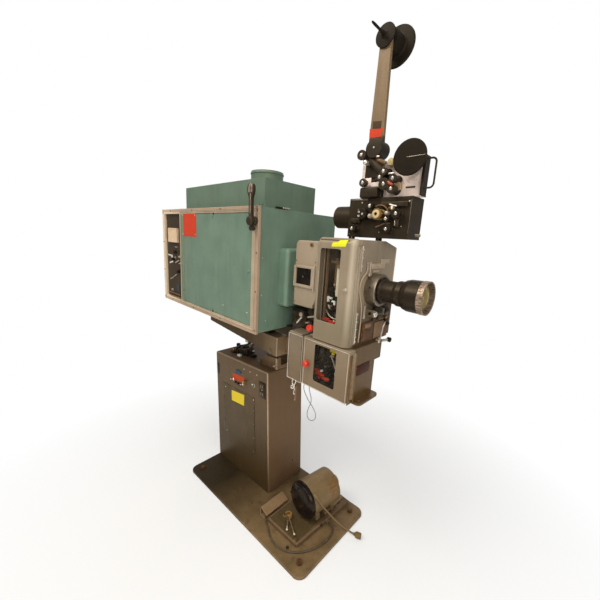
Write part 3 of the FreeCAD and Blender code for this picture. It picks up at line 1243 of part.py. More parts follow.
def make_motor_plug():
    """Round plug on the floor in front of the base: body, neck and two blades in a deep cup."""
    profile = [(0, 0), (0, 6), (7, 7), (11, 12.5), (16, 14), (31, 14), (37, 13), (37, 11), (24, 10.5),
               (24, 0)]
    shell = turned("plug_turned", profile, "x")
    blades = [box("plug_blade%d" % i, (22, y - 0.8, -3.5), (36, y + 0.8, 3.5)) for i, y in enumerate((-5, 5))]
    start, before = Vector(*LEAD_POINTS[-1]), Vector(*LEAD_POINTS[-2])
    heading = start - before
    heading.z = 0
    place = Placement(start, Rotation(Vector(1, 0, 0), heading))
    sub_part("motor_plug", join("plug_joined", [shell] + blades), place)


CABLE_ROUTES = [
    [(-392, 50, 660), (-390, 52, 712), (-368, 57, 752), (-324, 60, 768), (-278, 57, 778), (-242, 62, 806),
     (-232, 72, 848)],
    [(-362, 44, 660), (-362, 45, 706), (-344, 46, 742), (-306, 42, 752), (-266, 42, 758), (-226, 50, 776),
     (-206, 60, 812), (-204, 70, 850)],
    [(-384, 136, 660), (-382, 138, 712), (-356, 142, 748), (-310, 140, 760), (-264, 136, 774),
     (-232, 130, 806),
     (-226, 122, 848)],
]
TRAY_ROUTE = [
    (384, 52, 21), (405, 50, 19), (424, 38, 16.5), (434, 12, 16.5), (437, -22, 16.5), (433, -58, 16.5),
    (423, -94, 16.5), (406, -130, 16.5), (382, -162, 16.5), (356, -184, 16.5), (325, -200, 16.5),
    (291, -208, 16.5), (254, -205, 16.5), (219, -191, 16.5), (190, -173, 17), (163, -164, 19),
    (141, -150, 21), (132, -125, 21.5), (131, -101, 21.5), (131.4, -81, 21.5),
]


def make_machine_cables():
    """Three leads that climb from the pedestal into the table, and one that lies round the tray."""
    leads = [tube("column_cable%d" % i, route, 6) for i, route in enumerate(CABLE_ROUTES)]
    leads.append(tube("tray_cable", TRAY_ROUTE, size("cord_rad")))
    sub_part("machine_cables", group("cable_group", leads), upright())


WIRE_POINTS = [
    (322, -62, 839), (323, -62, 814), (316, -62, 786), (314, -62, 758), (334, -63, 732), (353, -65, 716),
    (377, -66, 701), (396, -66, 680), (399, -66, 656), (383, -64, 634), (361, -62, 626), (344, -60, 634),
    (341, -58, 658), (349, -56, 684), (358, -55, 710), (356, -55, 734), (344, -55, 758), (338, -55, 786),
    (340, -55, 814), (339, -55, 839),
]


def make_safety_wire():
    sub_part("safety_wire", tube("safety_wire_tube", WIRE_POINTS, size("wire_rad")), tilted())


def check_and_export():
    doc.recompute()
    for obj in doc.Objects:
        if {"Invalid", "Error"} & set(obj.State):
            raise RuntimeError("%s (%s) failed: %s" % (obj.Name, obj.Label, obj.State))
    for obj in parts:
        if obj.Shape.isNull() or not obj.Shape.isValid():
            raise RuntimeError("%s has no valid shape" % obj.Label)
    os.makedirs("parts", exist_ok=True)
    for obj in parts:
        obj.Shape.exportStep("parts/%s.step" % obj.Label)
        bounds = obj.Shape.BoundBox
        print("%-22s %2d solid  x %7.1f %7.1f  y %7.1f %7.1f  z %7.1f %7.1f  %9.1f cm3"
              % (obj.Label, len(obj.Shape.Solids), bounds.XMin, bounds.XMax, bounds.YMin, bounds.YMax,
                 bounds.ZMin, bounds.ZMax, obj.Shape.Volume / 1000))
    print("%d sub-parts" % len(parts))


def main():
    make_base_plate()
    make_levelling_screws()
    make_pedestal()
    make_access_panel()
    make_outlet()
    make_motor_switch()
    make_pivot_block()
    make_tilt_screw()
    make_motor()
    make_end_bell()
    make_rotor()
    make_motor_tray()
    make_belt_guard()
    make_levers()
    make_motor_cord()
    make_motor_plug()
    make_machine_cables()
    make_tilt_table()
    make_tilt_pin()
    make_riser()
    make_front_bracket()
    make_lamphouse_body()
    make_side_frame()
    make_control_panel()
    make_meter()
    make_lamp_switch()
    make_plenum()
    make_collar()
    make_nose()
    make_reflector()
    make_bulb()
    make_lamp_cradle()
    make_lamp_door()
    make_douser()
    make_shutter_housing()
    make_shutter_disc()
    make_head_casting()
    make_head_door()
    make_door_glass("head_door_glass", ("421.5", "1114"), ("525", "1392"))
    make_film_gate()
    wheel_y = size("film_wall") - 5.5
    make_sprocket("feed_sprocket", 24, (size("feed_x"), wheel_y, size("feed_z")))
    make_sprocket("intermittent_sprocket", 16, (size("step_x"), wheel_y, size("step_z")))
    make_framing_knob()
    make_lens_drum()
    make_lens_barrel()
    make_lens_glass()
    make_focus_knob()
    make_soundhead()
    make_soundhead_door()
    make_door_glass("soundhead_glass", ("426", "866"), ("542", "1030"))
    make_latch_knob()
    make_sound_drum()
    make_reader_box()
    make_sprocket("reader_sprocket", 24, (571, size("reader_near") - 5.5, 1512))
    make_upper_reader()
    make_flywheel()
    make_grab_handle()
    make_reel_arm()
    make_reel_spindle()
    make_safety_wire()
    check_and_export()


main()
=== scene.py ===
"""Film projector: finishes, trim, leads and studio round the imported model."""
import json
import math

import bmesh
import bpy
from bpy.props import FloatProperty, FloatVectorProperty, PointerProperty
from bpy.types import Operator, Panel, PropertyGroup
from mathutils import Matrix, Vector


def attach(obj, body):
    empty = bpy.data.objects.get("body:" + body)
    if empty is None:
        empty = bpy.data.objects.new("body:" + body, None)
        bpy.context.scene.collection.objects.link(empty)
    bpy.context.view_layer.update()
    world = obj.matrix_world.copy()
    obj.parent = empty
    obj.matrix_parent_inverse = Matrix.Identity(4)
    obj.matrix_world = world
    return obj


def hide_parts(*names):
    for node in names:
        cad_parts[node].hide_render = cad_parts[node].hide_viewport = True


bl_info = {
    "name": "Film Projector",
    "version": (1, 0, 0),
    "blender": (4, 5, 0),
    "location": "View3D > Sidebar > Projector",
    "description": "Finishes, trim, leads and studio for a cinema film projector",
    "category": "Object",
}

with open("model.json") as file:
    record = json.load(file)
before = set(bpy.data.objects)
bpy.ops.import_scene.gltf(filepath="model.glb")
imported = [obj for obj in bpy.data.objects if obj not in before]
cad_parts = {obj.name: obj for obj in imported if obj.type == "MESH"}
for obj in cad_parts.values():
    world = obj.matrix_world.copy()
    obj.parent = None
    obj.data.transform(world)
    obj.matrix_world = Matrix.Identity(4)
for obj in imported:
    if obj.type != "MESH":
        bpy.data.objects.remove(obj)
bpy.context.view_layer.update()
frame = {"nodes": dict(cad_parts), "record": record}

# The machine above its tilt pin is built level, in millimetres, and turned about the pin
PIN = Vector((-0.028, 0, 0.808))
SLANT = math.radians(3.66)
LEVEL = Matrix.Translation(PIN) @ Matrix.Rotation(SLANT, 4, "Y") @ Matrix.Translation(-PIN)
MILLIMETRES = Matrix.Scale(0.001, 4)
AHEAD = {"x": (1, 0, 0), "-y": (0, -1, 0), "z": (0, 0, 1), "-z": (0, 0, -1)}
LENS_Y, LENS_Z = -15, 1249  # the lens's axis in the level frame


def colour(name, words, default):
    return FloatVectorProperty(name=name, description=words, default=default, subtype="COLOR", min=0, max=1)


def length(name, words, default):
    return FloatProperty(name=name, description=words, default=default, unit="LENGTH", subtype="DISTANCE",
                         min=0)


class ProjectorColours(PropertyGroup):
    lamphouse: colour("Lamphouse", "Enamel of the lamphouse, plenum and nose", (0.138, 0.212, 0.158))
    head: colour("Head", "Enamel of the projector head, shutter housing and doors", (0.27, 0.215, 0.15))
    pedestal: colour("Pedestal", "Enamel of the pedestal and table", (0.125, 0.078, 0.040))
    base: colour("Base", "Enamel of the base plate", (0.175, 0.113, 0.052))
    motor: colour("Motor", "Enamel of the motor", (0.18, 0.12, 0.058))
    trim: colour("Trim", "Anodised frame round the lamphouse door", (0.47, 0.37, 0.255))
    arm: colour("Arm", "Enamel of the reel arm", (0.185, 0.118, 0.060))
    black: colour("Black", "Satin black of readers, levers and rollers", (0.030, 0.022, 0.014))
    knobs: colour("Knobs", "Red moulded knobs", (0.62, 0.035, 0.015))
    yellow: colour("Yellow labels", "Plain yellow vinyl", (0.82, 0.62, 0.02))


class ProjectorSizes(PropertyGroup):
    screw: length("Screw head", "Radius of the panel screws' heads", 0.0034)
    mains: length("Mains lead", "Diameter of the motor's lead", 0.008)
    column: length("Column leads", "Diameter of the leads between pedestal and table", 0.012)
    wire: length("Safety wire", "Diameter of the wire under the soundhead", 0.003)


class StudioSettings(PropertyGroup):
    lens: FloatProperty(name="Focal length", description="Focal length of the camera, on a 36 mm sensor",
                        default=18.25,
                        unit="CAMERA", min=1)
    key: FloatProperty(name="Key", description="Power of the lamp on the operator's side, in watts",
                       default=76.0)
    fill: FloatProperty(name="Fill", description="Power of the lamp ahead of the lens, in watts",
                        default=31.0)
    sky: FloatProperty(name="Sky", description="Strength of the even light from all round", default=0.30)


# Shader arithmetic


class Number:
    """A shader socket in an expression; each operator adds its Math node."""

    def __init__(self, recipe, socket):
        self.recipe, self.socket = recipe, socket

    def math(self, operation, *values):
        return self.recipe.node("Math", {"operation": operation}, dict(enumerate(values)))

    def __add__(self, other):
        return self.math("ADD", self, other)

    def __sub__(self, other):
        return self.math("SUBTRACT", self, other)

    def __rsub__(self, other):
        return self.math("SUBTRACT", other, self)

    def __mul__(self, other):
        return self.math("MULTIPLY", self, other)

    __radd__, __rmul__ = __add__, __mul__

    def ramp(self, low, high):
        """0 below low, 1 above high, straight between; low may be the higher."""
        return self.recipe.node("MapRange", {}, {0: self, 1: low, 2: high, 3: 0, 4: 1})

    def within(self, low, high, soft=0.4):
        return self.ramp(low - soft, low + soft) * self.ramp(high + soft, high - soft)


class Recipe:
    """One material, or the world's, under construction."""

    def __init__(self, name, owner=None):
        self.material = owner or bpy.data.materials.new(name)
        self.material.use_nodes = True
        self.tree = self.material.node_tree
        self.tree.nodes.clear()

    def node(self, kind, settings, inputs, output=0):
        """Adds a node of a type with its settings, then the values or links of its sockets."""
        made = self.tree.nodes.new("ShaderNode" + kind)
        for key, value in settings.items():
            setattr(made, key, value)
        for key, value in inputs.items():
            if isinstance(value, Number):
                self.tree.links.new(value.socket, made.inputs[key])
            else:
                if isinstance(value, (tuple, list)) and len(value) == 3 and made.inputs[key].type == "RGBA":
                    value = (*value, 1)
                made.inputs[key].default_value = value
        return Number(self, made.outputs[output]) if len(made.outputs) else None

    def place(self, level=True, stretch=(1, 1, 1)):
        """Where a point is in millimetres, in the level frame or the world's."""
        back = Matrix.Rotation(-SLANT if level else 0, 3, "Y")
        spot = (PIN - back @ PIN) * 1000 if level else Vector()
        where = self.node("TexCoord", {}, {}, 3)
        turned = self.node("Mapping", {},
                           {0: where, 1: spot, 2: (0, -SLANT if level else 0, 0), 3: (1000,) * 3})
        return turned if stretch == (1, 1, 1) else self.node("Mapping", {}, {0: turned, 3: stretch})

    def axes(self, where):
        split = self.node("SeparateXYZ", {}, {0: where})
        rest = split.socket.node.outputs
        return split, Number(self, rest[1]), Number(self, rest[2])

    def noise(self, where, size, detail=3.0, rough=0.55):
        """Cloudy values round 0.5 with patches of about a size in millimetres."""
        return self.node("TexNoise", {},
                         {"Vector": where, "Scale": 1 / size, "Detail": detail, "Roughness": rough})

    def mix(self, share, first, second):
        return self.node("Mix", {"data_type": "RGBA"}, {0: share, 6: first, 7: second}, 2)

    def rounded(self, reach):
        """The normal eased over edges within a reach in millimetres, and 1 where it leaves the face's own."""
        eased = self.node("Bevel", {"samples": 4}, {0: reach / 1000})
        own = self.node("NewGeometry", {}, {}, 1)
        agreed = self.node("VectorMath", {"operation": "DOT_PRODUCT"}, {0: eased, 1: own}, 1)
        return eased, (1 - agreed).ramp(0.01, 0.14)

    def bump(self, height, depth, **more):
        """A relief of a height field, depth in millimetres."""
        return self.node("Bump", {}, {"Distance": depth / 1000, "Height": height, **more})

    def surface(self, **sockets):
        """Closes the material with one principled surface."""
        inputs = {}
        for key, value in sockets.items():
            inputs[key.replace("_", " ").title().replace("Ior", "IOR")] = value
        shader = self.node("BsdfPrincipled", {}, inputs)
        self.node("OutputMaterial", {}, {0: shader})
        return self.material


def shade(tint, amount):
    return tuple(min(1.0, value * amount) for value in tint)


def spots(recipe, where, size, share):
    """1 in scattered small chips that cover a share of the surface."""
    return recipe.noise(where, size, 4.0, 0.6).ramp(0.74 - share, 0.76 - share)


# Finishes


WARM_SHEEN = (1.0, 0.80, 0.56)


def enamel(name, tint, rough=0.42, grain=1.6, relief=0.12, cloud=0.16, dirt=0.35, chips=0.0, change=None,
           level=True, wear_and_highlight=0.5, gloss=0.4):
    """Sprayed enamel: hammered skin, clouding, dirt that runs down, small chips, and edges painted pale, part
    wear and part painted highlight that grows with gloss.
    """
    recipe = Recipe(name)
    where = recipe.place(level)
    clouds = recipe.noise(where, 90, 4)
    fine = recipe.noise(where, grain, 2)
    runs = recipe.noise(recipe.place(level, (1, 1, 0.12)), 22, 5, 0.7)
    skin = recipe.mix(clouds.ramp(0.3, 0.7), shade(tint, 1 - cloud), shade(tint, 1 + cloud))
    skin = recipe.mix(fine.ramp(0.35, 0.7) * 0.14, skin, shade(tint, 1.7))
    brown = (tint[0] * 0.5, tint[1] * 0.42, tint[2] * 0.33)
    skin = recipe.mix(runs.ramp(0.5, 0.78) * dirt, skin, brown)
    if chips:
        skin = recipe.mix(spots(recipe, where, 9, chips) * 0.8, skin, shade(brown, 0.7))
    # edges painted pale: part wear, part painted highlight, brighter with the gloss
    eased, edge = recipe.rounded(2.0 + wear_and_highlight * 4)
    bare_and_highlit = edge * ((fine + clouds).ramp(0.6, 1.15) * 0.6 + 0.4) * wear_and_highlight
    skin = recipe.mix(bare_and_highlit, skin, tuple(min(1.0, value * 1.9 + 0.4 * gloss) for value in tint))
    roughness = clouds * 0.2 + (rough - 0.1) + runs.ramp(0.5, 0.8) * 0.12
    metal = 0.0
    if change:
        skin, roughness, metal = change(recipe, where, skin, roughness)
    return recipe.surface(Base_Color=skin, Roughness=roughness, Metallic=metal, Specular_IOR_Level=gloss,
                          Specular_Tint=WARM_SHEEN,
                          Normal=recipe.bump(fine + clouds * 0.5, relief, Normal=eased))


def metal(name, tint, rough=0.3, streak=(1, 1, 12), size=5, stain=0.25, share=1.0):
    """Bare or plated metal with drawn streaks and dull stains."""
    recipe = Recipe(name)
    lines = recipe.noise(recipe.place(True, streak), size, 3)
    marks = recipe.noise(recipe.place(True), 14, 4, 0.65).ramp(0.5, 0.72)
    skin = recipe.mix(lines, shade(tint, 0.82), shade(tint, 1.12))
    skin = recipe.mix(marks * stain, skin, shade(tint, 0.35))
    return recipe.surface(Base_Color=skin, Roughness=lines * 0.16 + rough - 0.08 + marks * 0.15,
                          Metallic=share,
                          Normal=recipe.bump(lines, 0.03))


def moulded(name, tint, rough=0.35, grain=0.8, relief=0.03, dust=0.15, coat=0.0):
    """Plastic or rubber with a fine skin and a little dust."""
    recipe = Recipe(name)
    where = recipe.place()
    fine = recipe.noise(where, grain, 2)
    clouds = recipe.noise(where, 18, 4, 0.6)
    skin = recipe.mix(clouds.ramp(0.4, 0.75) * dust, tint, (0.24, 0.17, 0.10))
    return recipe.surface(Base_Color=skin, Roughness=clouds * 0.2 + rough - 0.1, Coat_Weight=coat,
                          Specular_IOR_Level=0.3, Specular_Tint=WARM_SHEEN, Normal=recipe.bump(fine, relief))


def glass(name, tint, see=0.035, rough=0.04):
    """Window glass: mostly see-through, with a smeared gloss."""
    recipe = Recipe(name)
    smear = recipe.noise(recipe.place(True, (1, 1, 0.3)), 30, 4)
    return recipe.surface(Base_Color=tint, Roughness=smear.ramp(0.5, 0.8) * 0.2 + rough, IOR=1.5,
                          Alpha=smear.ramp(0.45, 0.9) * 0.10 + see)


def off_axis(deep, high):
    """The square of the distance from the lens's axis."""
    off, up = deep - LENS_Y, high - LENS_Z
    return off * off + up * up


def optics(name):
    """Coated elements: amber, nearly black toward the rim, with pale streaks painted on as reflections."""
    recipe = Recipe(name)
    where = recipe.place()
    across, deep, high = recipe.axes(where)
    skin = recipe.mix(off_axis(deep, high).ramp(400, 2300), (0.20, 0.135, 0.03), (0.045, 0.035, 0.012))
    # pale streaks: painted reflections
    skin = recipe.mix(recipe.noise(recipe.place(True, (1, 1.6, 0.5)), 13, 2).ramp(0.5, 0.75), skin,
                      (0.50, 0.42, 0.18))
    clouds = recipe.noise(where, 24, 2)
    return recipe.surface(Base_Color=skin, Roughness=clouds * 0.1 + 0.12, Specular_IOR_Level=0.4)


def inside(recipe, where, low, high):
    """1 inside a level box, given in millimetres."""
    total = 1.0
    for value, start, end in zip(recipe.axes(where), low, high):
        total = value.within(start, end) * total
    return total


def head_skin(recipe, where, skin, roughness):
    """Painted shade behind the door, dark oily brown and lighter higher up; the front is painted darker brown
    below the lens as shade, and a rosy painted highlight runs down its far edge.
    """
    across, deep, high = recipe.axes(where)
    front = across.ramp(571, 575)
    stain = recipe.noise(recipe.place(True, (1, 1, 0.3)), 16, 4, 0.65)
    # painted shade: the front darker brown below the lens, varied by streaky noise
    skin = recipe.mix(front * high.ramp(1225, 1120) * (stain * 0.3 + 0.72), skin, (0.048, 0.025, 0.006))
    # painted highlight: rosy light down the front's far edge
    skin = recipe.mix(front * deep.ramp(122, 140) * stain.ramp(0.38, 0.5) * 0.85, skin, (0.60, 0.37, 0.22))
    skin = recipe.mix(across.ramp(412, 409) * high.ramp(1150, 1146), skin, (0.016, 0.012, 0.008))
    room = inside(recipe, where, (422, -110, 1049), (570, 18, 1413))
    oil = recipe.noise(where, 12, 4)
    # painted shade inside behind the door, lighter toward the top
    inner = recipe.mix(high.ramp(1240, 1330), recipe.mix(oil, (0.010, 0.007, 0.004), (0.035, 0.024, 0.014)),
                       recipe.mix(oil, (0.045, 0.028, 0.012), (0.15, 0.10, 0.05)))
    return recipe.mix(room, skin, inner), roughness - room * 0.12, 0.0


def soundhead_skin(recipe, where, skin, roughness):
    """Painted shade: black behind the door; its lens-side front is painted dark brown as shade, streaked, and
    painted darker brown toward the foot as shade.
    """
    across, deep, high = recipe.axes(where)
    room = inside(recipe, where, (383, -111, 846), (587, 12, 1035))
    stain = recipe.noise(recipe.place(True, (1, 1, 0.4)), 22, 4, 0.6)
    # painted shade on the lens-side front, streaked by noise
    skin = recipe.mix(across.ramp(568, 582) * (stain * 0.6 + 0.6), skin, (0.078, 0.040, 0.010))
    # painted shade: darker brown toward the foot
    skin = recipe.mix(high.ramp(1060, 880) * 0.55, skin, (0.12, 0.066, 0.024))
    # painted shade: black inside behind the door
    return recipe.mix(room, skin, (0.008, 0.006, 0.005)), roughness - room * 0.1, 0.0


def lower_tint(recipe, where, skin, roughness):
    """Doors and housings painted browner toward their feet as shade; brown pans, and a pale painted highlight
    down the rounded edge.
    """
    across, deep, high = recipe.axes(where)
    skin = recipe.mix(across.ramp(414, 411) * high.ramp(1140, 1150) * 0.4, skin, (0.46, 0.36, 0.265))
    pan = inside(recipe, where, (421, -142, 1048), (548, -111, 1418))
    pan = (pan + inside(recipe, where, (384, -142, 842), (590, -111, 1036))).ramp(0, 1)
    # painted highlight down the door's rounded front edge
    shine = across.within(557, 570, 6) * deep.ramp(-112, -126) * high.ramp(1040, 1120)
    skin = recipe.mix(shine * 0.55, skin, (0.62, 0.54, 0.42))
    green = high.ramp(1230, 1120) * high.ramp(1030, 1070)
    skin = recipe.mix(green * 0.45, skin, (0.18, 0.165, 0.105))
    # painted shade: browner toward the feet
    skin = recipe.mix(high.ramp(1160, 900) * 0.62, skin, (0.15, 0.092, 0.044))
    return recipe.mix(pan, skin, (0.075, 0.045, 0.022)), roughness, 0.0


def teal_skin(recipe, where, skin, roughness):
    """Faded warm at the rear of the door, dirtier above on the plenum."""
    across, deep, high = recipe.axes(where)
    faded = recipe.noise(recipe.place(True, (1, 1, 0.4)), 60, 3).ramp(0.3, 0.6) * across.ramp(-330, -440)
    skin = recipe.mix(faded * deep.ramp(-249, -250) * 0.5, skin, (0.24, 0.23, 0.14))
    return recipe.mix(high.ramp(1524, 1530) * 0.4, skin, (0.075, 0.105, 0.072)), roughness, 0.0


def lens_skin(recipe, where, skin, roughness):
    """Copper-brown retaining ring outside the hood, pale marks and worn edges behind it."""
    across, deep, high = recipe.axes(where)
    ring = across.within(763.6, 790) * off_axis(deep, high).ramp(2560, 2620)
    bands = across.within(619, 631, 0.3) + across.within(683, 701, 0.3)
    scratch = recipe.noise(recipe.place(True, (0.2, 1, 1)), 3, 3)
    copper = recipe.mix(scratch.ramp(0.35, 0.75), (0.11, 0.066, 0.038), (0.58, 0.45, 0.35))
    skin = recipe.mix(bands * scratch.ramp(0.5, 0.75) * 0.5, skin, (0.13, 0.09, 0.055))
    return recipe.mix(ring, skin, copper), roughness, ring * 0.45


def reader_skin(recipe, where, skin, roughness):
    """Pale plate in the middle; the end wall, block and boss are black."""
    across, deep, high = recipe.axes(where)
    black = across.ramp(698.4, 698.8) + deep.ramp(24.6, 24.2) * across.ramp(565, 560) * high.ramp(1612, 1606)
    specks = recipe.noise(where, 4, 4).ramp(0.62, 0.70)
    skin = recipe.mix(specks * 0.5, skin, (0.16, 0.08, 0.05))
    return recipe.mix(black, skin, (0.012, 0.009, 0.006)), roughness, 0.0


def arm_skin(recipe, where, skin, roughness):
    """Grey-tan arm with a dull streak up its middle and a black foot."""
    across, deep, high = recipe.axes(where)
    streak = recipe.noise(recipe.place(True, (1, 1, 0.05)), 8, 3)
    skin = recipe.mix(streak.ramp(0.42, 0.6) * 0.4, skin, (0.14, 0.11, 0.08))
    foot = recipe.mix(high.ramp(1740, 1775), (0.012, 0.009, 0.006), (0.045, 0.032, 0.018))
    return recipe.mix(high.ramp(1779, 1772), skin, foot), roughness, 0.0


def pedestal_skin(recipe, where, skin, roughness):
    """Painted shade inside and a painted shadow darkening its near face toward the floor; a painted highlight
    on its near corner and top edge; its lens-side face painted lighter as light, with dark flecks above and
    pale spills below.
    """
    across, deep, high = recipe.axes(where)
    room = inside(recipe, where, (-473.6, -30.6, 15), (23.6, 223.6, 713.6))
    # painted shadow of the lamphouse on the near face, darker toward the floor
    skin = recipe.mix(deep.ramp(-30, -33) * (high.ramp(640, 200) * 0.65 + 0.08), skin, (0.036, 0.021, 0.004))
    green = deep.ramp(-34.8, -35.4) * recipe.noise(where, 60, 3).ramp(0.35, 0.65)
    skin = recipe.mix(green * 0.6, skin, (0.052, 0.036, 0.009))
    # painted light: the lens-side face lighter
    skin = recipe.mix(across.ramp(20, 25) * 0.5, skin, (0.20, 0.115, 0.06))
    # painted highlight on the near corner and the top edge
    corner = across.ramp(19, 23) * deep.ramp(-27, -31) * high.ramp(80, 420)
    corner = corner + high.ramp(708, 713) * deep.ramp(-24, -29) * 0.5
    skin = recipe.mix(corner.ramp(0, 1) * (recipe.noise(where, 14, 3) * 0.7 + 0.4), skin, (0.60, 0.46, 0.33))
    fleck = recipe.noise(where, 5, 3).ramp(0.70, 0.73) * across.ramp(20, 25) * high.ramp(560, 690)
    skin = recipe.mix(fleck, skin, (0.02, 0.014, 0.008))
    spill = recipe.noise(where, 4, 3).ramp(0.71, 0.73) * across.ramp(20, 25) * high.ramp(520, 400)
    skin = recipe.mix(spill, skin, (0.42, 0.36, 0.27))
    # painted shade: nearly black inside
    return recipe.mix(room, skin, (0.006, 0.005, 0.004)), roughness, 0.0


def table_skin(recipe, where, skin, roughness):
    """Painted shade under the lamphouse, darker and browner; painted lighter in front as light; a painted
    highlight on one corner.
    """
    across, deep, high = recipe.axes(where)
    # painted shade under the lamphouse
    skin = recipe.mix(across.ramp(-60, -200) * 0.75, skin, (0.065, 0.034, 0.008))
    # painted light in front, out of that shade
    skin = recipe.mix(across.ramp(-90, -10) * high.ramp(780, 800) * 0.5, skin, (0.36, 0.25, 0.15))
    # painted highlight on the pivot block's near corner
    corner = across.ramp(16, 21) * deep.ramp(37, 33)
    return recipe.mix(corner * 0.8, skin, (0.62, 0.48, 0.35)), roughness, 0.0


def tray_skin(recipe, where, skin, roughness):
    """Dark olive, oily floor inside a lighter rim."""
    across, deep, high = recipe.axes(where)
    floor = inside(recipe, where, (168, -141, 20), (354, 232, 40))
    oil = recipe.noise(where, 14, 4)
    return recipe.mix(floor, skin,
                      recipe.mix(oil, (0.04, 0.026, 0.010), (0.135, 0.092, 0.042))), roughness, 0.0


def base_skin(recipe, where, skin, roughness):
    """Shoe-scuffed plate: scuffs, paint flecks and rust at the rim, and a painted shadow darkening it under
    the lamphouse.
    """
    across, deep, high = recipe.axes(where)
    scuff = recipe.noise(recipe.place(False, (0.25, 1, 1)), 30, 6, 0.7)
    fleck = recipe.noise(where, 5, 3).ramp(0.745, 0.76)
    skin = recipe.mix(scuff.ramp(0.5, 0.7) * 0.45, skin, (0.21, 0.14, 0.075))
    skin = recipe.mix(recipe.noise(where, 40, 5).ramp(0.56, 0.72) * 0.6, skin, (0.07, 0.042, 0.02))
    rust = recipe.noise(where, 9, 4).ramp(0.62, 0.7) * across.ramp(300, 460)
    skin = recipe.mix(rust * 0.6, skin, (0.26, 0.10, 0.03))
    # painted shadow under the lamphouse
    skin = recipe.mix(across.ramp(160, -240) * 0.92, skin, (0.012, 0.008, 0.003))
    return recipe.mix(fleck, skin, (0.42, 0.37, 0.30)), roughness, 0.0


def motor_skin(recipe, where, skin, roughness):
    """Rust blooms in streaks on the flank that faces the lens side."""
    across, deep, high = recipe.axes(where)
    bloom = across.ramp(312, 330) * deep.within(85, 160, 12) * high.within(128, 200, 10)
    rust = recipe.noise(recipe.place(False, (1, 0.3, 1.6)), 8, 4, 0.7).ramp(0.47, 0.53) * bloom
    speck = recipe.noise(where, 9, 3).ramp(0.70, 0.74)
    skin = recipe.mix(rust + speck, skin,
                      recipe.mix(recipe.noise(where, 3), (0.07, 0.025, 0.008), (0.32, 0.15, 0.035)))
    return skin, roughness + rust * 0.3, 0.0


def frame_skin(recipe, where, skin, roughness):
    """Two brushed beads with a dark line between them, the outer one rosy; paler toward the rear."""
    across, deep, high = recipe.axes(where)
    line = deep.ramp(-255.2, -255.6) * (high.within(1513, 1515, 0.5) + across.within(189, 191, 0.5)
                                        + across.within(-650, -647.5, 0.5) + high.within(1033, 1035, 0.5))
    outer = across.ramp(189, 191) + high.ramp(1513, 1515) + high.ramp(1035, 1033)
    skin = recipe.mix(across.ramp(-420, -620), skin, (0.92, 0.74, 0.54))
    skin = recipe.mix(outer.ramp(0, 1) * 0.5, skin, (0.42, 0.27, 0.19))
    return recipe.mix(line * 0.55, skin, (0.07, 0.045, 0.028)), roughness, 0.2


def lever_skin(recipe, where, skin, roughness):
    """Black lever with pale bare metal, part wear and part painted highlight, in its eye and down the front
    of its stem.
    """
    across, deep, high = recipe.axes(where)
    bare = recipe.noise(recipe.place(True, (1, 1, 0.3)), 6, 4)
    eye = high.ramp(1568, 1574) * high.ramp(1602, 1596) * across.ramp(200, 197) * across.ramp(174, 178)
    stem = across.ramp(186, 188) * across.ramp(192, 190) * deep.ramp(-281, -282) * high.ramp(1488, 1500)
    # pale patches: bare metal and painted highlight
    bare_and_highlit = (eye + stem * 0.8).ramp(0, 1) * deep.ramp(-240, -250) * bare.ramp(0.3, 0.5)
    return recipe.mix(bare_and_highlit * 0.9, skin, (0.55, 0.44, 0.34)), roughness, bare_and_highlit * 0.3


def hub_skin(recipe, where, skin, roughness):
    """Bronze hub; its levers are dark steel with pale ends."""
    across, deep, high = recipe.axes(where)
    arm = deep.ramp(-88, -92)
    skin = recipe.mix(arm, skin, recipe.mix(deep.ramp(-120, -126), (0.20, 0.14, 0.07), (0.72, 0.64, 0.50)))
    return skin, roughness, arm * 0.3


def vinyl(name, tint, wear=0.3):
    """Printed film, blank, with rubbed and grubby patches."""
    recipe = Recipe(name)
    where = recipe.place()
    rub = recipe.noise(where, 9, 5, 0.7)
    crease = recipe.noise(recipe.place(True, (1, 1, 3)), 26, 3)
    skin = recipe.mix(rub.ramp(0.45, 0.7) * wear, tint, shade(tint, 0.45))
    return recipe.surface(Base_Color=skin, Roughness=rub * 0.3 + 0.3, Specular_IOR_Level=0.2,
                          Specular_Tint=WARM_SHEEN, Normal=recipe.bump(crease, 0.5))


def jacket(name, tint):
    """Rubber jacket of a lead: matt, dusty, with faint rings."""
    recipe = Recipe(name)
    where = recipe.place(False)
    dust = recipe.noise(where, 20, 4)
    skin = recipe.mix(dust.ramp(0.45, 0.75) * 0.4, tint, (0.24, 0.176, 0.112))
    return recipe.surface(Base_Color=skin, Roughness=dust * 0.2 + 0.45,
                          Normal=recipe.bump(recipe.noise(where, 1.2), 0.05))


def strand(name):
    """Twisted steel wire: a fine lay round the rope."""
    recipe = Recipe(name)
    twist = recipe.node("TexWave", {"bands_direction": "DIAGONAL"}, {"Vector": recipe.place(), "Scale": 0.35},
                        1)
    skin = recipe.mix(twist, (0.10, 0.10, 0.10), (0.42, 0.42, 0.42))
    return recipe.surface(Base_Color=skin, Roughness=twist * 0.1 + 0.35, Metallic=0.8,
                          Normal=recipe.bump(twist, 0.2))


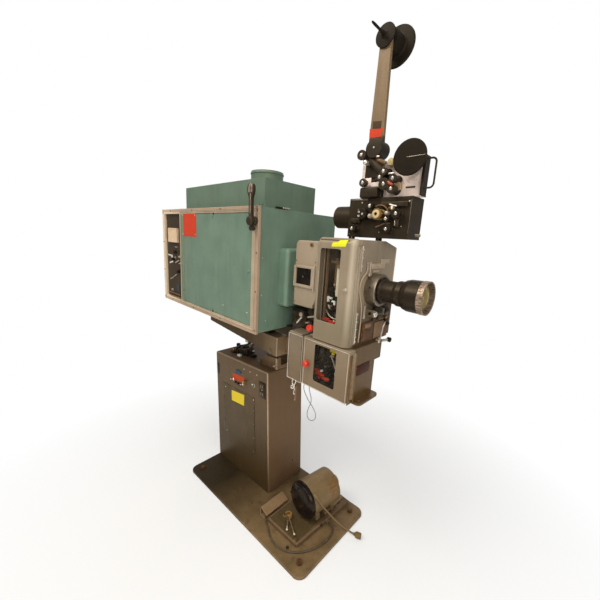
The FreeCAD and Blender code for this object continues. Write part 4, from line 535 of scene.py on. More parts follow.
def make_finishes():
    """Every finish by its name: its maker, then that maker's values in their order."""
    tint = bpy.context.scene.projector_colours
    lamphouse, head, pedestal = tuple(tint.lamphouse), tuple(tint.head), tuple(tint.pedestal)
    base, motor, black = tuple(tint.base), tuple(tint.motor), tuple(tint.black)
    rows = [
        ("base_paint", enamel, base, 0.5, 2.2, 0.2, 0.25, 0.5, 0.04, base_skin, False),
        ("pedestal_paint", enamel, pedestal, 0.42, 1.8, 0.22, 0.14, 0.3, 0.01, pedestal_skin, False, 0.8,
         0.3),
        ("casting_paint", enamel, shade(pedestal, 1.45), 0.44, 2.0, 0.25, 0.2, 0.4, 0.02, table_skin, True,
         0.8, 0.3),
        ("guard_paint", enamel, shade(pedestal, 1.75), 0.4, 2.0, 0.2, 0.2, 0.4, 0.02, None, False, 0.8, 0.3),
        ("tray_paint", enamel, shade(pedestal, 1.2), 0.42, 2.0, 0.2, 0.2, 0.5, 0.03, tray_skin, False, 0.8,
         0.3),
        ("flat_black", enamel, (0.013, 0.010, 0.007), 0.5, 1.5, 0.05, 0.2, 0.15, 0.004, None, True, 0.15,
         0.12),
        ("bell_black", enamel, (0.008, 0.005, 0.005), 0.24, 1.5, 0.06, 0.3, 0.2, 0.01, None, False, 0.3, 0.3),
        ("motor_paint", enamel, shade(motor, 1.1), 0.38, 2.4, 0.25, 0.2, 0.4, 0.02, motor_skin, False),
        ("teal_paint", enamel, lamphouse, 0.42, 1.3, 0.05, 0.12, 0.22, 0.006, teal_skin, True, 0.3),
        # painted light: a lighter copy of the lamphouse enamel
        ("teal_cast", enamel, shade(lamphouse, 1.3), 0.3, 2.0, 0.12, 0.12, 0.2, 0.006, None, True, 0.3),
        ("frame_metal", enamel, tuple(tint.trim), 0.38, 1.2, 0.03, 0.12, 0.35, 0.01, frame_skin),
        ("panel_black", enamel, (0.036, 0.024, 0.015), 0.55, 1.2, 0.06, 0.3, 0.5, 0.01),
        ("meter_face", moulded, (0.74, 0.54, 0.36), 0.4, 2.0, 0.02, 0.25),
        ("black_metal", enamel, black, 0.42, 1.5, 0.10, 0.3, 0.25, 0.006, None, True, 0.25, 0.2),
        ("lever_black", enamel, black, 0.4, 1.5, 0.10, 0.3, 0.25, 0.006, lever_skin, True, 0.4, 0.25),
        ("hammer_grey", enamel, head, 0.34, 1.5, 0.12, 0.1, 0.25, 0.008, lower_tint, True, 0.6, 0.5),
        ("head_paint", enamel, shade(head, 0.94), 0.34, 1.5, 0.12, 0.12, 0.35, 0.01, head_skin, True, 0.6,
         0.5),
        ("soundhead_paint", enamel, shade(head, 0.8), 0.36, 1.6, 0.14, 0.12, 0.35, 0.02, soundhead_skin, True,
         0.8, 0.5),
        # a lighter copy of the head paint: painted highlight on the raised plates and edge strip
        ("emboss_paint", enamel, shade(head, 1.5), 0.4, 1.2, 0.1, 0.2, 0.3, 0.02),
        ("drum_grey", metal, (0.31, 0.26, 0.20), 0.42, (12, 1, 1), 4, 0.4),
        ("lens_black", enamel, (0.020, 0.014, 0.009), 0.38, 0.9, 0.05, 0.25, 0.3, 0.01, lens_skin, True, 0.25,
         0.25),
        ("lens_glass", optics),
        ("clear_glass", glass, (0.20, 0.17, 0.12)),
        ("dark_glass", moulded, (0.004, 0.003, 0.004), 0.25, 6, 0.01, 0.03),
        ("mirror_silver", metal, (0.85, 0.85, 0.85), 0.1, (1, 1, 1), 40, 0.05),
        ("bolt_steel", metal, (0.62, 0.53, 0.43), 0.35, (1, 1, 12), 5, 0.25, 0.6),
        ("rusty_steel", metal, (0.14, 0.10, 0.065), 0.5, (1, 1, 1), 5, 0.6),
        ("chrome", metal, (0.84, 0.76, 0.66), 0.17, (1, 1, 3), 8, 0.15, 0.7),
        ("bronze", metal, (0.30, 0.16, 0.06), 0.42, (1, 1, 1), 6, 0.5),
        ("hub_bronze", enamel, (0.30, 0.15, 0.045), 0.4, 1.2, 0.2, 0.3, 0.4, 0.02, hub_skin, False),
        ("brass", metal, (0.44, 0.30, 0.12), 0.36, (1, 1, 1), 5, 0.5),
        # pale rods along edges: part wear, part painted highlight
        ("rubbed_edge", enamel, (0.62, 0.51, 0.39), 0.35, 1.2, 0.03, 0.15, 0.3, 0.01),
        ("pale_metal", enamel, (0.88, 0.71, 0.62), 0.4, 1.2, 0.03, 0.12, 0.35, 0.01, reader_skin),
        ("arm_grey", enamel, tuple(tint.arm), 0.4, 1.6, 0.08, 0.14, 0.35, 0.01, arm_skin, True, 0.5, 0.35),
        ("red_plastic", moulded, tuple(tint.knobs), 0.3, 2, 0.01, 0.06, 0.2),
        ("black_plastic", moulded, (0.010, 0.008, 0.006), 0.35, 1, 0.02, 0.06),
        ("brown_plastic", moulded, (0.17, 0.10, 0.035), 0.3, 1, 0.03, 0.3),
        ("brown_cord", jacket, (0.19, 0.115, 0.045)),
        ("black_cord", jacket, (0.016, 0.013, 0.010)),
        ("tray_cord", jacket, (0.075, 0.050, 0.024)),
        ("wire_rope", strand),
        ("yellow_vinyl", vinyl, tuple(tint.yellow), 0.12),
        ("lime_vinyl", vinyl, (0.80, 0.78, 0.02), 0.12),
        ("red_vinyl", vinyl, (0.60, 0.05, 0.02), 0.35),
        ("red_plate", vinyl, (0.56, 0.055, 0.012), 0.6),
        ("maroon_plate", vinyl, (0.045, 0.010, 0.006), 0.4),
        ("sepia_plate", vinyl, (0.06, 0.036, 0.018), 0.5),
        ("blue_lamp", moulded, (0.01, 0.055, 0.11), 0.3, 3, 0.01, 0.05),
        ("blue_tape", vinyl, (0.035, 0.06, 0.085), 0.5),
        ("green_lamp", moulded, (0.05, 0.16, 0.07), 0.2, 3, 0.01, 0.1),
        ("white_tag", moulded, (0.86, 0.83, 0.76), 0.4, 3, 0.02, 0.05),
        ("ivory_brass", moulded, (0.55, 0.42, 0.20), 0.25, 3, 0.02, 0.2),
        ("tan_cylinder", moulded, (0.42, 0.29, 0.16), 0.35, 3, 0.02, 0.3),
        ("dark_cell", moulded, (0.020, 0.015, 0.009), 0.4, 2, 0.05, 0.2),
        ("dial_gold", moulded, (0.62, 0.47, 0.24), 0.32, 2, 0.02, 0.3),
        ("copper_red", moulded, (0.38, 0.06, 0.03), 0.3, 3, 0.02, 0.2),
        ("ivory", moulded, (0.72, 0.64, 0.46), 0.35, 2, 0.02, 0.1),
        ("oily_brown", moulded, (0.20, 0.115, 0.055), 0.3, 3, 0.05, 0.3, 0.2),
        ("rust_brown", moulded, (0.085, 0.032, 0.012), 0.45, 2, 0.05, 0.4),
        ("dark_brown", moulded, (0.035, 0.018, 0.008), 0.4, 2, 0.05, 0.4),
    ]
    return {name: kind(name, *values) for name, kind, *values in rows}


# Modelling, as by hand


def clear():
    """Object mode, with nothing selected."""
    if bpy.context.object and bpy.context.object.mode == "EDIT":
        bpy.ops.object.mode_set(mode="OBJECT")
    bpy.ops.object.select_all(action="DESELECT")


def edit(action="SELECT"):
    bpy.ops.object.mode_set(mode="EDIT")
    bpy.ops.mesh.select_all(action=action)


def done():
    bpy.ops.object.mode_set(mode="OBJECT")
    return bpy.context.object


def pick_faces(test):
    """Selects the faces of the edited piece whose centre and normal pass a test."""
    bpy.ops.mesh.select_mode(type="FACE")
    mesh = bmesh.from_edit_mesh(bpy.context.object.data)
    for face in mesh.faces:
        face.select_set(bool(test(face.calc_center_median(), face.normal)))
    bmesh.update_edit_mesh(bpy.context.object.data)


def seat(piece, spot=(0, 0, 0), ahead="z", turn=0.0):
    """Lays a piece's own Z along a direction, turned about it, moves it and applies that."""
    aim = AHEAD[ahead] if isinstance(ahead, str) else ahead
    facing = Vector(aim).to_track_quat("Z", "Y").to_matrix().to_4x4()
    clear()
    piece.select_set(True)
    bpy.context.view_layer.objects.active = piece
    piece.matrix_world = Matrix.Translation(spot) @ facing @ Matrix.Rotation(math.radians(turn), 4, "Z")
    bpy.ops.object.transform_apply(location=True, rotation=True, scale=True)
    return piece


def slab(low, high, soft=1.0, steps=2):
    """A block between two corners with bevelled edges."""
    clear()
    middle = [(a + b) / 2 for a, b in zip(low, high)]
    bpy.ops.mesh.primitive_cube_add(size=1, location=middle, scale=[b - a for a, b in zip(low, high)])
    bpy.ops.object.transform_apply(location=True, rotation=True, scale=True)
    edit()
    bpy.ops.mesh.bevel(offset=soft, segments=steps)
    return done()


def turned(profile, spot=(0, 0, 0), ahead="-y", sides=26):
    """A turned piece: rings of (radius, distance) from its foot, each extruded and resized from the last."""
    clear()
    radius, height = profile[0]
    bpy.ops.mesh.primitive_circle_add(vertices=sides, radius=radius, fill_type="NGON",
                                      location=(0, 0, height))
    bpy.ops.object.transform_apply(location=True, rotation=True, scale=True)
    edit()
    for wide, far in profile[1:]:
        bpy.ops.mesh.extrude_region_move(TRANSFORM_OT_translate={"value": (0, 0, far - height)})
        bpy.ops.transform.resize(value=(wide / radius, wide / radius, 1), center_override=(0, 0, far))
        radius, height = wide, far
    bpy.ops.mesh.select_all(action="SELECT")
    bpy.ops.mesh.normals_make_consistent(inside=False)
    return seat(done(), spot, ahead)


def tube(name, points, radius, fineness, smooth, steps):
    """A curve with a round section through points, and its spline."""
    curve = bpy.data.curves.new(name, "CURVE")
    curve.dimensions = "3D"
    curve.bevel_depth = radius
    curve.bevel_resolution = fineness
    curve.use_fill_caps = True
    spline = curve.splines.new("NURBS" if smooth else "POLY")
    spline.points.add(len(points) - 1)
    for point, place in zip(spline.points, points):
        point.co = (*place, 1)
    if smooth:
        spline.order_u = 3
        spline.use_endpoint_u = True
        spline.resolution_u = steps
    piece = bpy.data.objects.new(name, curve)
    bpy.context.scene.collection.objects.link(piece)
    return piece, spline


def rod(points, radius, smooth=True):
    """A bent rod or wire through points."""
    clear()
    piece = tube("rod", points, radius, 3, smooth, 5)[0]
    piece.select_set(True)
    bpy.context.view_layer.objects.active = piece
    bpy.ops.object.convert(target="MESH")
    return bpy.context.object


def outline(low, high, face, radius):
    """A thin rod round a rectangle on a wall that faces -Y."""
    corners = [(low[0], low[1]), (high[0], low[1]), (high[0], high[1]), (low[0], high[1]), (low[0], low[1])]
    return rod([(x, face, z) for x, z in corners], radius, False)


def bead(low, high, width, face, proud, soft=0.8):
    """A rectangular frame on a wall that faces -Y: an inset plane, extruded and bevelled."""
    clear()
    middle = ((low[0] + high[0]) / 2, face, (low[1] + high[1]) / 2)
    bpy.ops.mesh.primitive_plane_add(size=1, location=middle, rotation=(math.pi / 2, 0, 0),
                                     scale=(high[0] - low[0], high[1] - low[1], 1))
    bpy.ops.object.transform_apply(location=True, rotation=True, scale=True)
    edit()
    bpy.ops.mesh.inset(thickness=width, use_boundary=True)
    bpy.ops.mesh.delete(type="FACE")
    bpy.ops.mesh.select_all(action="SELECT")
    bpy.ops.mesh.extrude_region_move(TRANSFORM_OT_translate={"value": (0, -proud, 0)})
    bpy.ops.mesh.select_all(action="SELECT")
    bpy.ops.mesh.normals_make_consistent(inside=False)
    bpy.ops.mesh.bevel(offset=min(soft, proud * 0.45, width * 0.3), segments=2)
    return done()


def film(corners, thick):
    """A sticker or thin plate: a plane between four corners, cut up and given a thickness."""
    clear()
    bpy.ops.mesh.primitive_plane_add(size=1)
    edit()
    bpy.ops.mesh.subdivide(number_cuts=6)
    mesh = bmesh.from_edit_mesh(bpy.context.object.data)
    low_left, low_right, high_right, high_left = (Vector(corner) for corner in corners)
    out = (low_right - low_left).cross(high_left - low_left).normalized()
    for vert in mesh.verts:
        u, v = vert.co.x + 0.5, vert.co.y + 0.5
        vert.co = low_left.lerp(low_right, u).lerp(high_left.lerp(high_right, u), v)
    bmesh.update_edit_mesh(bpy.context.object.data)
    bpy.ops.mesh.select_all(action="SELECT")
    bpy.ops.mesh.extrude_region_move(TRANSFORM_OT_translate={"value": out * thick})
    bpy.ops.mesh.select_all(action="SELECT")
    bpy.ops.mesh.normals_make_consistent(inside=False)
    return done()


def label(face, corners, thick):
    """A sticker on a wall that faces -Y, at a face's Y, between four corners (x, z)."""
    return film([(x, face, z) for x, z in corners], thick)


def copies(piece, places):
    """The piece at each place, every copy with its own mesh."""
    made = []
    for place in places:
        clear()
        piece.select_set(True)
        bpy.context.view_layer.objects.active = piece
        bpy.ops.object.duplicate(linked=False)
        bpy.ops.transform.translate(value=place)
        bpy.ops.object.transform_apply(location=True, rotation=True, scale=True)
        made.append(bpy.context.object)
    bpy.data.objects.remove(piece)
    return made


def screw(radius=3.4, ahead="-y", sides=14):
    """Pan head with a socket; its foot is at the origin."""
    return turned([(radius, -0.3), (radius, radius * 0.35), (radius * 0.8, radius * 0.62),
                   (radius * 0.42, radius * 0.66),
                   (radius * 0.36, radius * 0.3)], (0, 0, 0), ahead, sides)


def slotted(radius, spot, ahead="-y", angle=30):
    """Cheese-head screw: a turned head whose top is bisected beside its middle and sunk between."""
    head = turned([(radius, 0), (radius, radius * 0.5), (radius * 0.88, radius * 0.62)], (0, 0, 0), "z", 20)
    edit()
    for side in (-0.16, 0.16):
        bpy.ops.mesh.select_all(action="SELECT")
        bpy.ops.mesh.bisect(plane_co=(0, side * radius, 0), plane_no=(0, 1, 0))
    top = radius * 0.61
    pick_faces(lambda centre, normal: centre.z > top and abs(centre.y) < radius * 0.15 and normal.z > 0.5)
    bpy.ops.mesh.extrude_region_move(TRANSFORM_OT_translate={"value": (0, 0, -radius * 0.3)})
    done()
    return seat(head, spot, ahead, angle)


def roller(radius, long, spot, hub=5.5):
    """Film roller: flange, relieved waist, flange, and a sunk end round the pin's hole."""
    body = turned([(radius * 0.55, 0), (radius * 0.8, 0.6), (radius, 1.2), (radius, long * 0.16),
                   (radius * 0.82, long * 0.24),
                   (radius * 0.82, long * 0.74), (radius, long * 0.82), (radius, long - 1),
                   (radius - 1, long),
                   (hub + 2.2, long), (hub + 1.6, long - 1.6)], spot, "-y")
    end = (spot[0], spot[1] - long + 1.7, spot[2])
    pin = turned([(hub, 0), (hub, 2.2), (hub * 0.7, 3.0), (hub * 0.32, 3.0), (hub * 0.28, 2.2)], end, "-y",
                 16)
    return body, pin


def toggle(spot, lean=18.0, long=20.0):
    """Bat toggle with its hexagon nut on a wall that faces -Y."""
    nut = turned([(6.4, 0), (6.4, 2.2), (5.6, 3.0), (4.0, 3.0), (3.6, 5.0), (2.6, 5.0)], spot, "-y", 6)
    tilt = math.radians(lean)
    aim = (0, -math.cos(tilt), math.sin(tilt))
    bat = turned([(2.2, 1.0), (2.4, 6), (3.4, long - 3), (3.3, long - 1), (2.2, long)], spot, aim, 16)
    return nut, bat


class Kit:
    """The loose pieces of one group: joined finish by finish, placed, and put on a body."""

    def __init__(self, name, body, level=True):
        self.name, self.body, self.level, self.loose = name, body, level, {}

    def add(self, finish, *pieces):
        for piece in pieces:
            self.loose.setdefault(finish, []).extend(piece if isinstance(piece, (list, tuple)) else [piece])

    def rollers(self, finish, *sizes):
        for size in sizes:
            body, pin = roller(*size)
            self.add(finish, body)
            self.add("chrome", pin)

    def close(self):
        for finish, pieces in self.loose.items():
            clear()
            for piece in pieces:
                piece.select_set(True)
            bpy.context.view_layer.objects.active = pieces[0]
            if len(pieces) > 1:
                bpy.ops.object.join()
            whole = bpy.context.object
            whole.name = whole.data.name = "%s_%s" % (self.name, finish)
            whole.matrix_world = (LEVEL if self.level else Matrix()) @ MILLIMETRES
            bpy.ops.object.transform_apply(location=True, rotation=True, scale=True)
            bpy.ops.object.shade_smooth_by_angle(angle=math.radians(38))
            dress(whole, finish)
            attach(whole, self.body)


FINISHES = {}


def finished(finish):
    """The material of a finish; all of them are made at the first call."""
    if not FINISHES:
        FINISHES.update(make_finishes())
    return FINISHES[finish]


def dress(piece, finish):
    """Gives a piece its finish."""
    piece.data.materials.clear()
    piece.data.materials.append(finished(finish))


# Studio: metres and degrees

CAMERA_PLACE = (1.1823, -0.9923, 1.3419)
CAMERA_TURN, CAMERA_DIP, CAMERA_ROLL = 43.84, 9.51, 0.66
CAMERA_SHIFT = (-0.0018, 0.0039)
SENSOR = 36
FLOOR_RADIUS = 40
JUST_BELOW = -0.0005
LAMP_TINT = (1.0, 0.955, 0.88)
AIM = (0.1, 0, 1.0)


def shown_rays(recipe):
    """1 for rays that see the surroundings: straight or through glass."""
    path = recipe.node("LightPath", {}, {})
    outs = path.socket.node.outputs
    return (Number(recipe, outs["Is Camera Ray"]) + Number(recipe, outs["Is Transmission Ray"])).ramp(0, 1)


class PROJECTOR_OT_stage(Operator):
    """Adds the pale floor, the soft lamps, the even sky and the camera at the photograph's angle"""
    bl_idname = "projector.stage"
    bl_label = "Studio"

    def execute(self, context):
        studio = context.scene.projector_studio
        clear()
        bpy.ops.mesh.primitive_circle_add(vertices=96, radius=FLOOR_RADIUS, fill_type="TRIFAN",
                                          location=(0, 0, JUST_BELOW))
        floor = context.object
        floor.name = "floor"
        recipe = Recipe("floor")
        where = recipe.node("TexCoord", {}, {}, 3)
        reach = recipe.node("VectorMath", {"operation": "LENGTH"}, {0: where}, 1)
        pale = recipe.node("BsdfDiffuse", {}, {0: (0.93, 0.93, 0.93)})
        bright = recipe.node("Emission", {}, {0: (1, 1, 1), 1: 1.0})
        far = (reach.ramp(0.75, 1.75) * 0.62 + 0.38) * shown_rays(recipe)
        recipe.node("OutputMaterial", {}, {0: recipe.node("MixShader", {}, {0: far, 1: pale, 2: bright})})
        floor.data.materials.append(recipe.material)
        self.sky(context, studio)
        lamps = [("key", (-0.7, -2.4, 3.9), 1.6, studio.key), ("fill", (3.4, -0.8, 2.2), 1.8, studio.fill),
                 ("front", (2.0, -1.85, 1.95), 0.5, 16.0), ("top", (0.6, -0.9, 4.6), 2.4, 50.0),
                 ("back", (-1.6, 3.2, 2.4), 2.4, 18.0)]
        for name, spot, size, power in lamps:
            bpy.ops.object.light_add(type="AREA", location=spot)
            lamp = context.object
            lamp.name, lamp.data.size, lamp.data.energy = name, size, power
            lamp.data.color = LAMP_TINT
            lamp.rotation_euler = (Vector(AIM) - Vector(spot)).to_track_quat("-Z", "Y").to_euler()
        self.camera(context, studio)
        context.scene.view_settings.view_transform = "Standard"
        return {"FINISHED"}

    def sky(self, context, studio):
        world = context.scene.world or bpy.data.worlds.new("sky")
        context.scene.world = world
        recipe = Recipe("sky", world)
        seen = shown_rays(recipe)
        strength = seen * (1 - studio.sky) + studio.sky
        back = recipe.node("Background", {}, {0: (1, 1, 1), 1: strength})
        recipe.node("OutputWorld", {}, {0: back})

    def camera(self, context, studio):
        turn, dip, roll = math.radians(CAMERA_TURN), math.radians(CAMERA_DIP), math.radians(CAMERA_ROLL)
        back = Vector((math.sin(turn) * math.cos(dip), -math.cos(turn) * math.cos(dip), math.sin(dip)))
        right = Vector((math.cos(turn), math.sin(turn), 0))
        up = back.cross(right)
        across = right * math.cos(roll) + up * math.sin(roll)
        over = up * math.cos(roll) - right * math.sin(roll)
        data = bpy.data.cameras.new("camera")
        data.lens, data.sensor_width = studio.lens, SENSOR
        data.shift_x, data.shift_y = CAMERA_SHIFT
        data.clip_start = 0.02
        camera = bpy.data.objects.new("camera", data)
        context.scene.collection.objects.link(camera)
        facing = Matrix((across, over, back)).transposed().to_4x4()
        camera.matrix_world = Matrix.Translation(CAMERA_PLACE) @ facing
        context.scene.camera = camera


# Leads and wire: the routes of the solids in millimetres, their lengths in metres

MOTOR_LEAD = [(353, -6, 176), (380, 6, 140), (408, 29, 98), (430, 47, 66), (455, 67, 40), (484, 84, 20),
              (504, 92, 14)]
COLUMN_LEADS = [
    [(-392, 50, 660), (-390, 52, 712), (-368, 57, 752), (-324, 60, 768), (-278, 57, 778), (-242, 62, 806),
     (-232, 72, 848)],
    [(-362, 44, 660), (-362, 45, 706), (-344, 46, 742), (-306, 42, 752), (-266, 42, 758), (-226, 50, 776),
     (-206, 60, 812), (-204, 70, 850)],
    [(-384, 136, 660), (-382, 138, 712), (-356, 142, 748), (-310, 140, 760), (-264, 136, 774),
     (-232, 130, 806),
     (-226, 122, 848)],
]
TRAY_LEAD = [
    (384, 52, 21), (405, 50, 19), (424, 38, 16.5), (434, 12, 16.5), (437, -22, 16.5), (433, -58, 16.5),
    (423, -94, 16.5), (406, -130, 16.5), (382, -162, 16.5), (356, -184, 16.5), (325, -200, 16.5),
    (291, -208, 16.5), (254, -205, 16.5), (219, -191, 16.5), (190, -173, 17), (163, -164, 19),
    (141, -150, 21), (132, -125, 21.5), (131, -101, 21.5), (131.4, -81, 21.5),
]
SAFETY_WIRE = [
    (322, -62, 839), (323, -62, 814), (316, -62, 786), (314, -62, 758), (334, -63, 732), (353, -65, 716),
    (377, -66, 701), (396, -66, 680), (399, -66, 656), (383, -64, 634), (361, -62, 626), (344, -60, 634),
    (341, -58, 658), (349, -56, 684), (358, -55, 710), (356, -55, 734), (344, -55, 758), (338, -55, 786),
    (340, -55, 814), (339, -55, 839),
]
COLUMN_LEADS_LONG = (0.277, 0.287, 0.276)


def lead(name, route, thick, finish, body, nodes, level=False):
    """A free lead or wire: one smooth curve along its route, standing for its solid."""
    turn = LEVEL if level else Matrix()
    places = [turn @ (Vector(place) / 1000) for place in route]
    piece, spline = tube(name, places, thick / 2, 5, True, 10)
    dress(piece, finish)
    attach(piece, body)
    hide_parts(*nodes)
    return piece, Vector(spline.points[0].co[:3])


class PROJECTOR_OT_leads(Operator):
    """Lays the motor lead with a boot at the motor, the column leads, the tray lead and the safety wire"""
    bl_idname = "projector.leads"
    bl_label = "Leads and wire"

    def execute(self, context):
        sizes = context.scene.projector_sizes
        piece, start = lead("motor_lead", MOTOR_LEAD, sizes.mains, "brown_cord", "pedestal", ["motor_cord"])
        heading = (Vector(MOTOR_LEAD[1]) - Vector(MOTOR_LEAD[0])).normalized()
        kit = Kit("lead_boot", "pedestal", False)
        kit.add("brown_cord",
                turned([(8, -2), (8.2, 2), (7.4, 3), (7.6, 6), (6.6, 7), (6.8, 10), (6.0, 11), (6.1, 14),
                        (5.4, 15), (5.4, 18), (4.7, 19), (4.5, 24)], MOTOR_LEAD[0], heading))
        kit.close()
        for number, (route, long) in enumerate(zip(COLUMN_LEADS, COLUMN_LEADS_LONG)):
            piece, start = lead("column_lead_%d" % number, route, sizes.column, "black_cord", "pedestal",
                                ["machine_cables"])
        piece, start = lead("tray_lead", TRAY_LEAD, sizes.mains, "tray_cord", "pedestal", ["machine_cables"])
        piece, start = lead("safety_wire_rope", SAFETY_WIRE, sizes.wire, "wire_rope", "tilting_head",
                            ["safety_wire"],
                            True)
        return {"FINISHED"}


# Solids whose finish isn't the one named like their material slot
NODE_FINISHES = {
    "head_casting": "head_paint", "soundhead_casting": "soundhead_paint", "douser_lever": "lever_black",
    "motor_levers": "hub_bronze", "levelling_screws": "rust_brown", "tilt_pin": "casting_paint",
    "motor_end_bell": "bell_black", "flywheel_disc": "flat_black", "reel_spindle": "flat_black",
    "belt_guard": "guard_paint", "motor_tray": "tray_paint",
}


class PROJECTOR_OT_solids(Operator):
    """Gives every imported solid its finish, by its material slot"""
    bl_idname = "projector.solids"
    bl_label = "Finish the solids"

    def execute(self, context):
        for part in frame["record"]["subparts"]:
            finish = NODE_FINISHES.get(part["node"], part["material_slot"])
            for slot in frame["nodes"][part["node"]].material_slots:
                slot.material = finished(finish)
        return {"FINISHED"}


# Pedestal and motor


class PROJECTOR_OT_pedestal_trim(Operator):
    """Adds the screws, toggle, buttons, pilot light, sockets, knob and plain plates on the near side"""
    bl_idname = "projector.pedestal_trim"
    bl_label = "Pedestal trim"

    def execute(self, context):
        head = context.scene.projector_sizes.screw * 1000
        kit = Kit("pedestal_trim", "pedestal", False)
        wall, cover = -34, -36
        kit.add("casting_paint", copies(screw(head), [(x, cover, z) for x, z in (
            (-389, 370), (-394, 447), (-392, 288), (-244, 208), (-98, 208), (-94, 462), (-96, 379),
            (-98, 292))]))
        kit.add("bolt_steel",
                copies(screw(head), [(-373, cover, 514), (-373, cover, 220), (-92, cover, 527)]))
        rivet = turned([(4.2, -0.2), (4.2, 0.9), (3.0, 2.2), (1.2, 2.6)], (0, 0, 0), "-y", 14)
        kit.add("bolt_steel", copies(rivet, [(x, wall, 681) for x in (-179, -123, -62)]))
        kit.add("red_plate", label(wall - 0.1, [(-293, 590), (-176, 592), (-174, 631), (-294, 625)], 0.8))
        kit.add("yellow_vinyl", label(cover - 0.1, [(-309, 448), (-184, 457), (-180, 525), (-308, 513)], 0.3))
        nut, bat = toggle((-193, wall - 0.5, 583))
        ring = turned([(7.4, 0), (7.4, 2.4), (6.6, 3.2), (5.9, 3.2), (5.6, 1.6)], (-286, wall - 0.5, 588),
                      "-y", 6)
        kit.add("chrome", nut, bat, ring)
        button = turned([(7.5, -0.5), (7.5, 3), (6.4, 4), (6.4, 9), (5.6, 10.4), (2, 10.8)], (0, 0, 0), "-y",
                        20)
        kit.add("black_plastic", copies(button, [(-262, wall, 579), (-236, wall, 578), (-212, wall, 577)]))
        oval = turned([(1, -0.4), (1, 3), (0.93, 4.4), (0.8, 5), (0.78, 4.2)], (0, 0, 0), "z", 32)
        edit()
        bpy.ops.transform.resize(value=(28, 12, 1), center_override=(0, 0, 0))
        kit.add("blue_lamp", seat(done(), (-234, wall, 650), "-y", 4))
        kit.add("brass",
                turned([(6, 0), (6, 2), (3.4, 3), (3.4, 8), (8.6, 9), (9.6, 10.5), (9.6, 16.5), (8.8, 18.5),
                        (5, 19.4), (4.2, 18.6)], (-165, wall, 615), "-y", 30))
        kit.add("bolt_steel", turned([(11, 0), (11, 3), (9.8, 4), (8.2, 4), (8.0, 3)], (-90, wall, 612)))
        kit.add("green_lamp", turned([(8.0, 2.5), (8.0, 7), (6.0, 8.8), (2, 9.6)], (-90, wall, 612)))
        kit.add("white_tag", slab((-98, -45, 616), (-88, -42, 622), 1, 2))
        kit.add("black_plastic", slab((-43, -36.5, 565), (12, -33, 655), 1.2))
        for low in (616, 573):
            kit.add("dark_cell", slab((-36, -39.4, low), (5, -35, low + 32), 1.6, 3))
            kit.add("brass", slab((-25, -39.8, low + 9), (-21, -39.2, low + 23), 0.15, 1),
                    slab((-11, -39.8, low + 9), (-7, -39.2, low + 23), 0.15, 1))
        kit.add("bolt_steel", slotted(3.2, (-16, cover - 0.4, 611)))
        kit.add("black_plastic", slab((-458, cover, 574), (-444, -33.4, 646), 1, 2))
        kit.close()
        return {"FINISHED"}


class PROJECTOR_OT_pedestal_top(Operator):
    """Adds the connector, terminal block, tags and knob on the pedestal's top, and the bolts beside them"""
    bl_idname = "projector.pedestal_top"
    bl_label = "Pedestal top"

    def execute(self, context):
        kit = Kit("pedestal_top", "pedestal", False)
        kit.add("bronze", slab((-398, 24, 717), (-372, 46, 731), 2.5, 3),
                turned([(8, 0), (8, 6), (6.5, 8), (6.5, 14)], (-385, 35, 731), "z", 20))
        kit.add("black_plastic", slab((-334, 40, 717), (-252, 96, 741), 3, 2),
                slab((-322, 58, 741), (-290, 88, 764), 3, 2),
                slab((-246, 46, 717), (-204, 78, 735), 2.5, 2))
        post = turned([(5, 0), (5, 8), (3.4, 9), (3.4, 14), (4.4, 15), (4.4, 18), (2, 18.6)], (0, 0, 0), "z",
                      14)
        kit.add("rusty_steel",
                copies(post, [(x, y, 741) for y in (48, 88) for x in (-326, -306, -286, -266)]))
        kit.add("white_tag", slab((-304, 6, 717), (-280, 24, 729), 2, 3),
                slab((-250, 78, 741), (-236, 88, 748), 1.6, 3))
        kit.add("black_plastic", turned([(13, 0), (14, 3), (12, 12), (13, 15), (13, 24), (11, 27), (5, 28)],
                                        (-440, 110, 717), "z", 24))
        bolt = turned([(11, 0), (11, 1.6), (8.6, 1.8), (8.6, 7.4), (7.6, 8.4), (2, 8.4)], (0, 0, 0), "z", 6)
        kit.add("casting_paint", copies(bolt, [(-112, 24, 735), (14, 24, 735), (14, 170, 735)]))
        kit.close()
        return {"FINISHED"}


class PROJECTOR_OT_motor_trim(Operator):
    """Adds the motor's rails, foot bolts, lever spring and the tray's rolled rim and stud"""
    bl_idname = "projector.motor_trim"
    bl_label = "Motor trim"

    def execute(self, context):
        kit = Kit("motor_trim", "pedestal", False)
        bolt = turned([(8, 0), (8, 1.4), (6.4, 1.6), (6.4, 6), (5.6, 7), (2, 7)], (0, 0, 0), "z", 6)
        kit.add("rusty_steel", copies(bolt, [(330, -176, 12), (204, 30, 24), (372, 10, 24)]))
        rim = [(190, 50, 23), (164, 46, 23), (164, -144, 23), (357, -144, 23), (366, 20, 23), (376, 200, 23)]
        kit.add("guard_paint", rod(rim, 4.2, False))
        kit.add("motor_paint", slab((330, 66, 24), (352, 216, 38), 2, 2),
                slab((358, 60, 24), (374, 214, 31), 2, 2))
        kit.add("dark_brown",
                *[slab((352, 84 + 38 * i, 24), (359, 106 + 38 * i, 35), 1.5, 2) for i in range(3)])
        kit.add("brass", turned([(7, 0), (9, 4), (9, 9), (7, 13), (3, 14)], (238, -82, 52), "z", 22),
                rod([(232, -86, 60), (226, -104, 72), (240, -118, 76), (254, -104, 66), (250, -88, 54)], 1.6))
        kit.add("chrome", turned([(7, 0), (7, 2), (4, 4)], (342, -134, 30), "z", 20))
        kit.close()
        return {"FINISHED"}


# Lamphouse


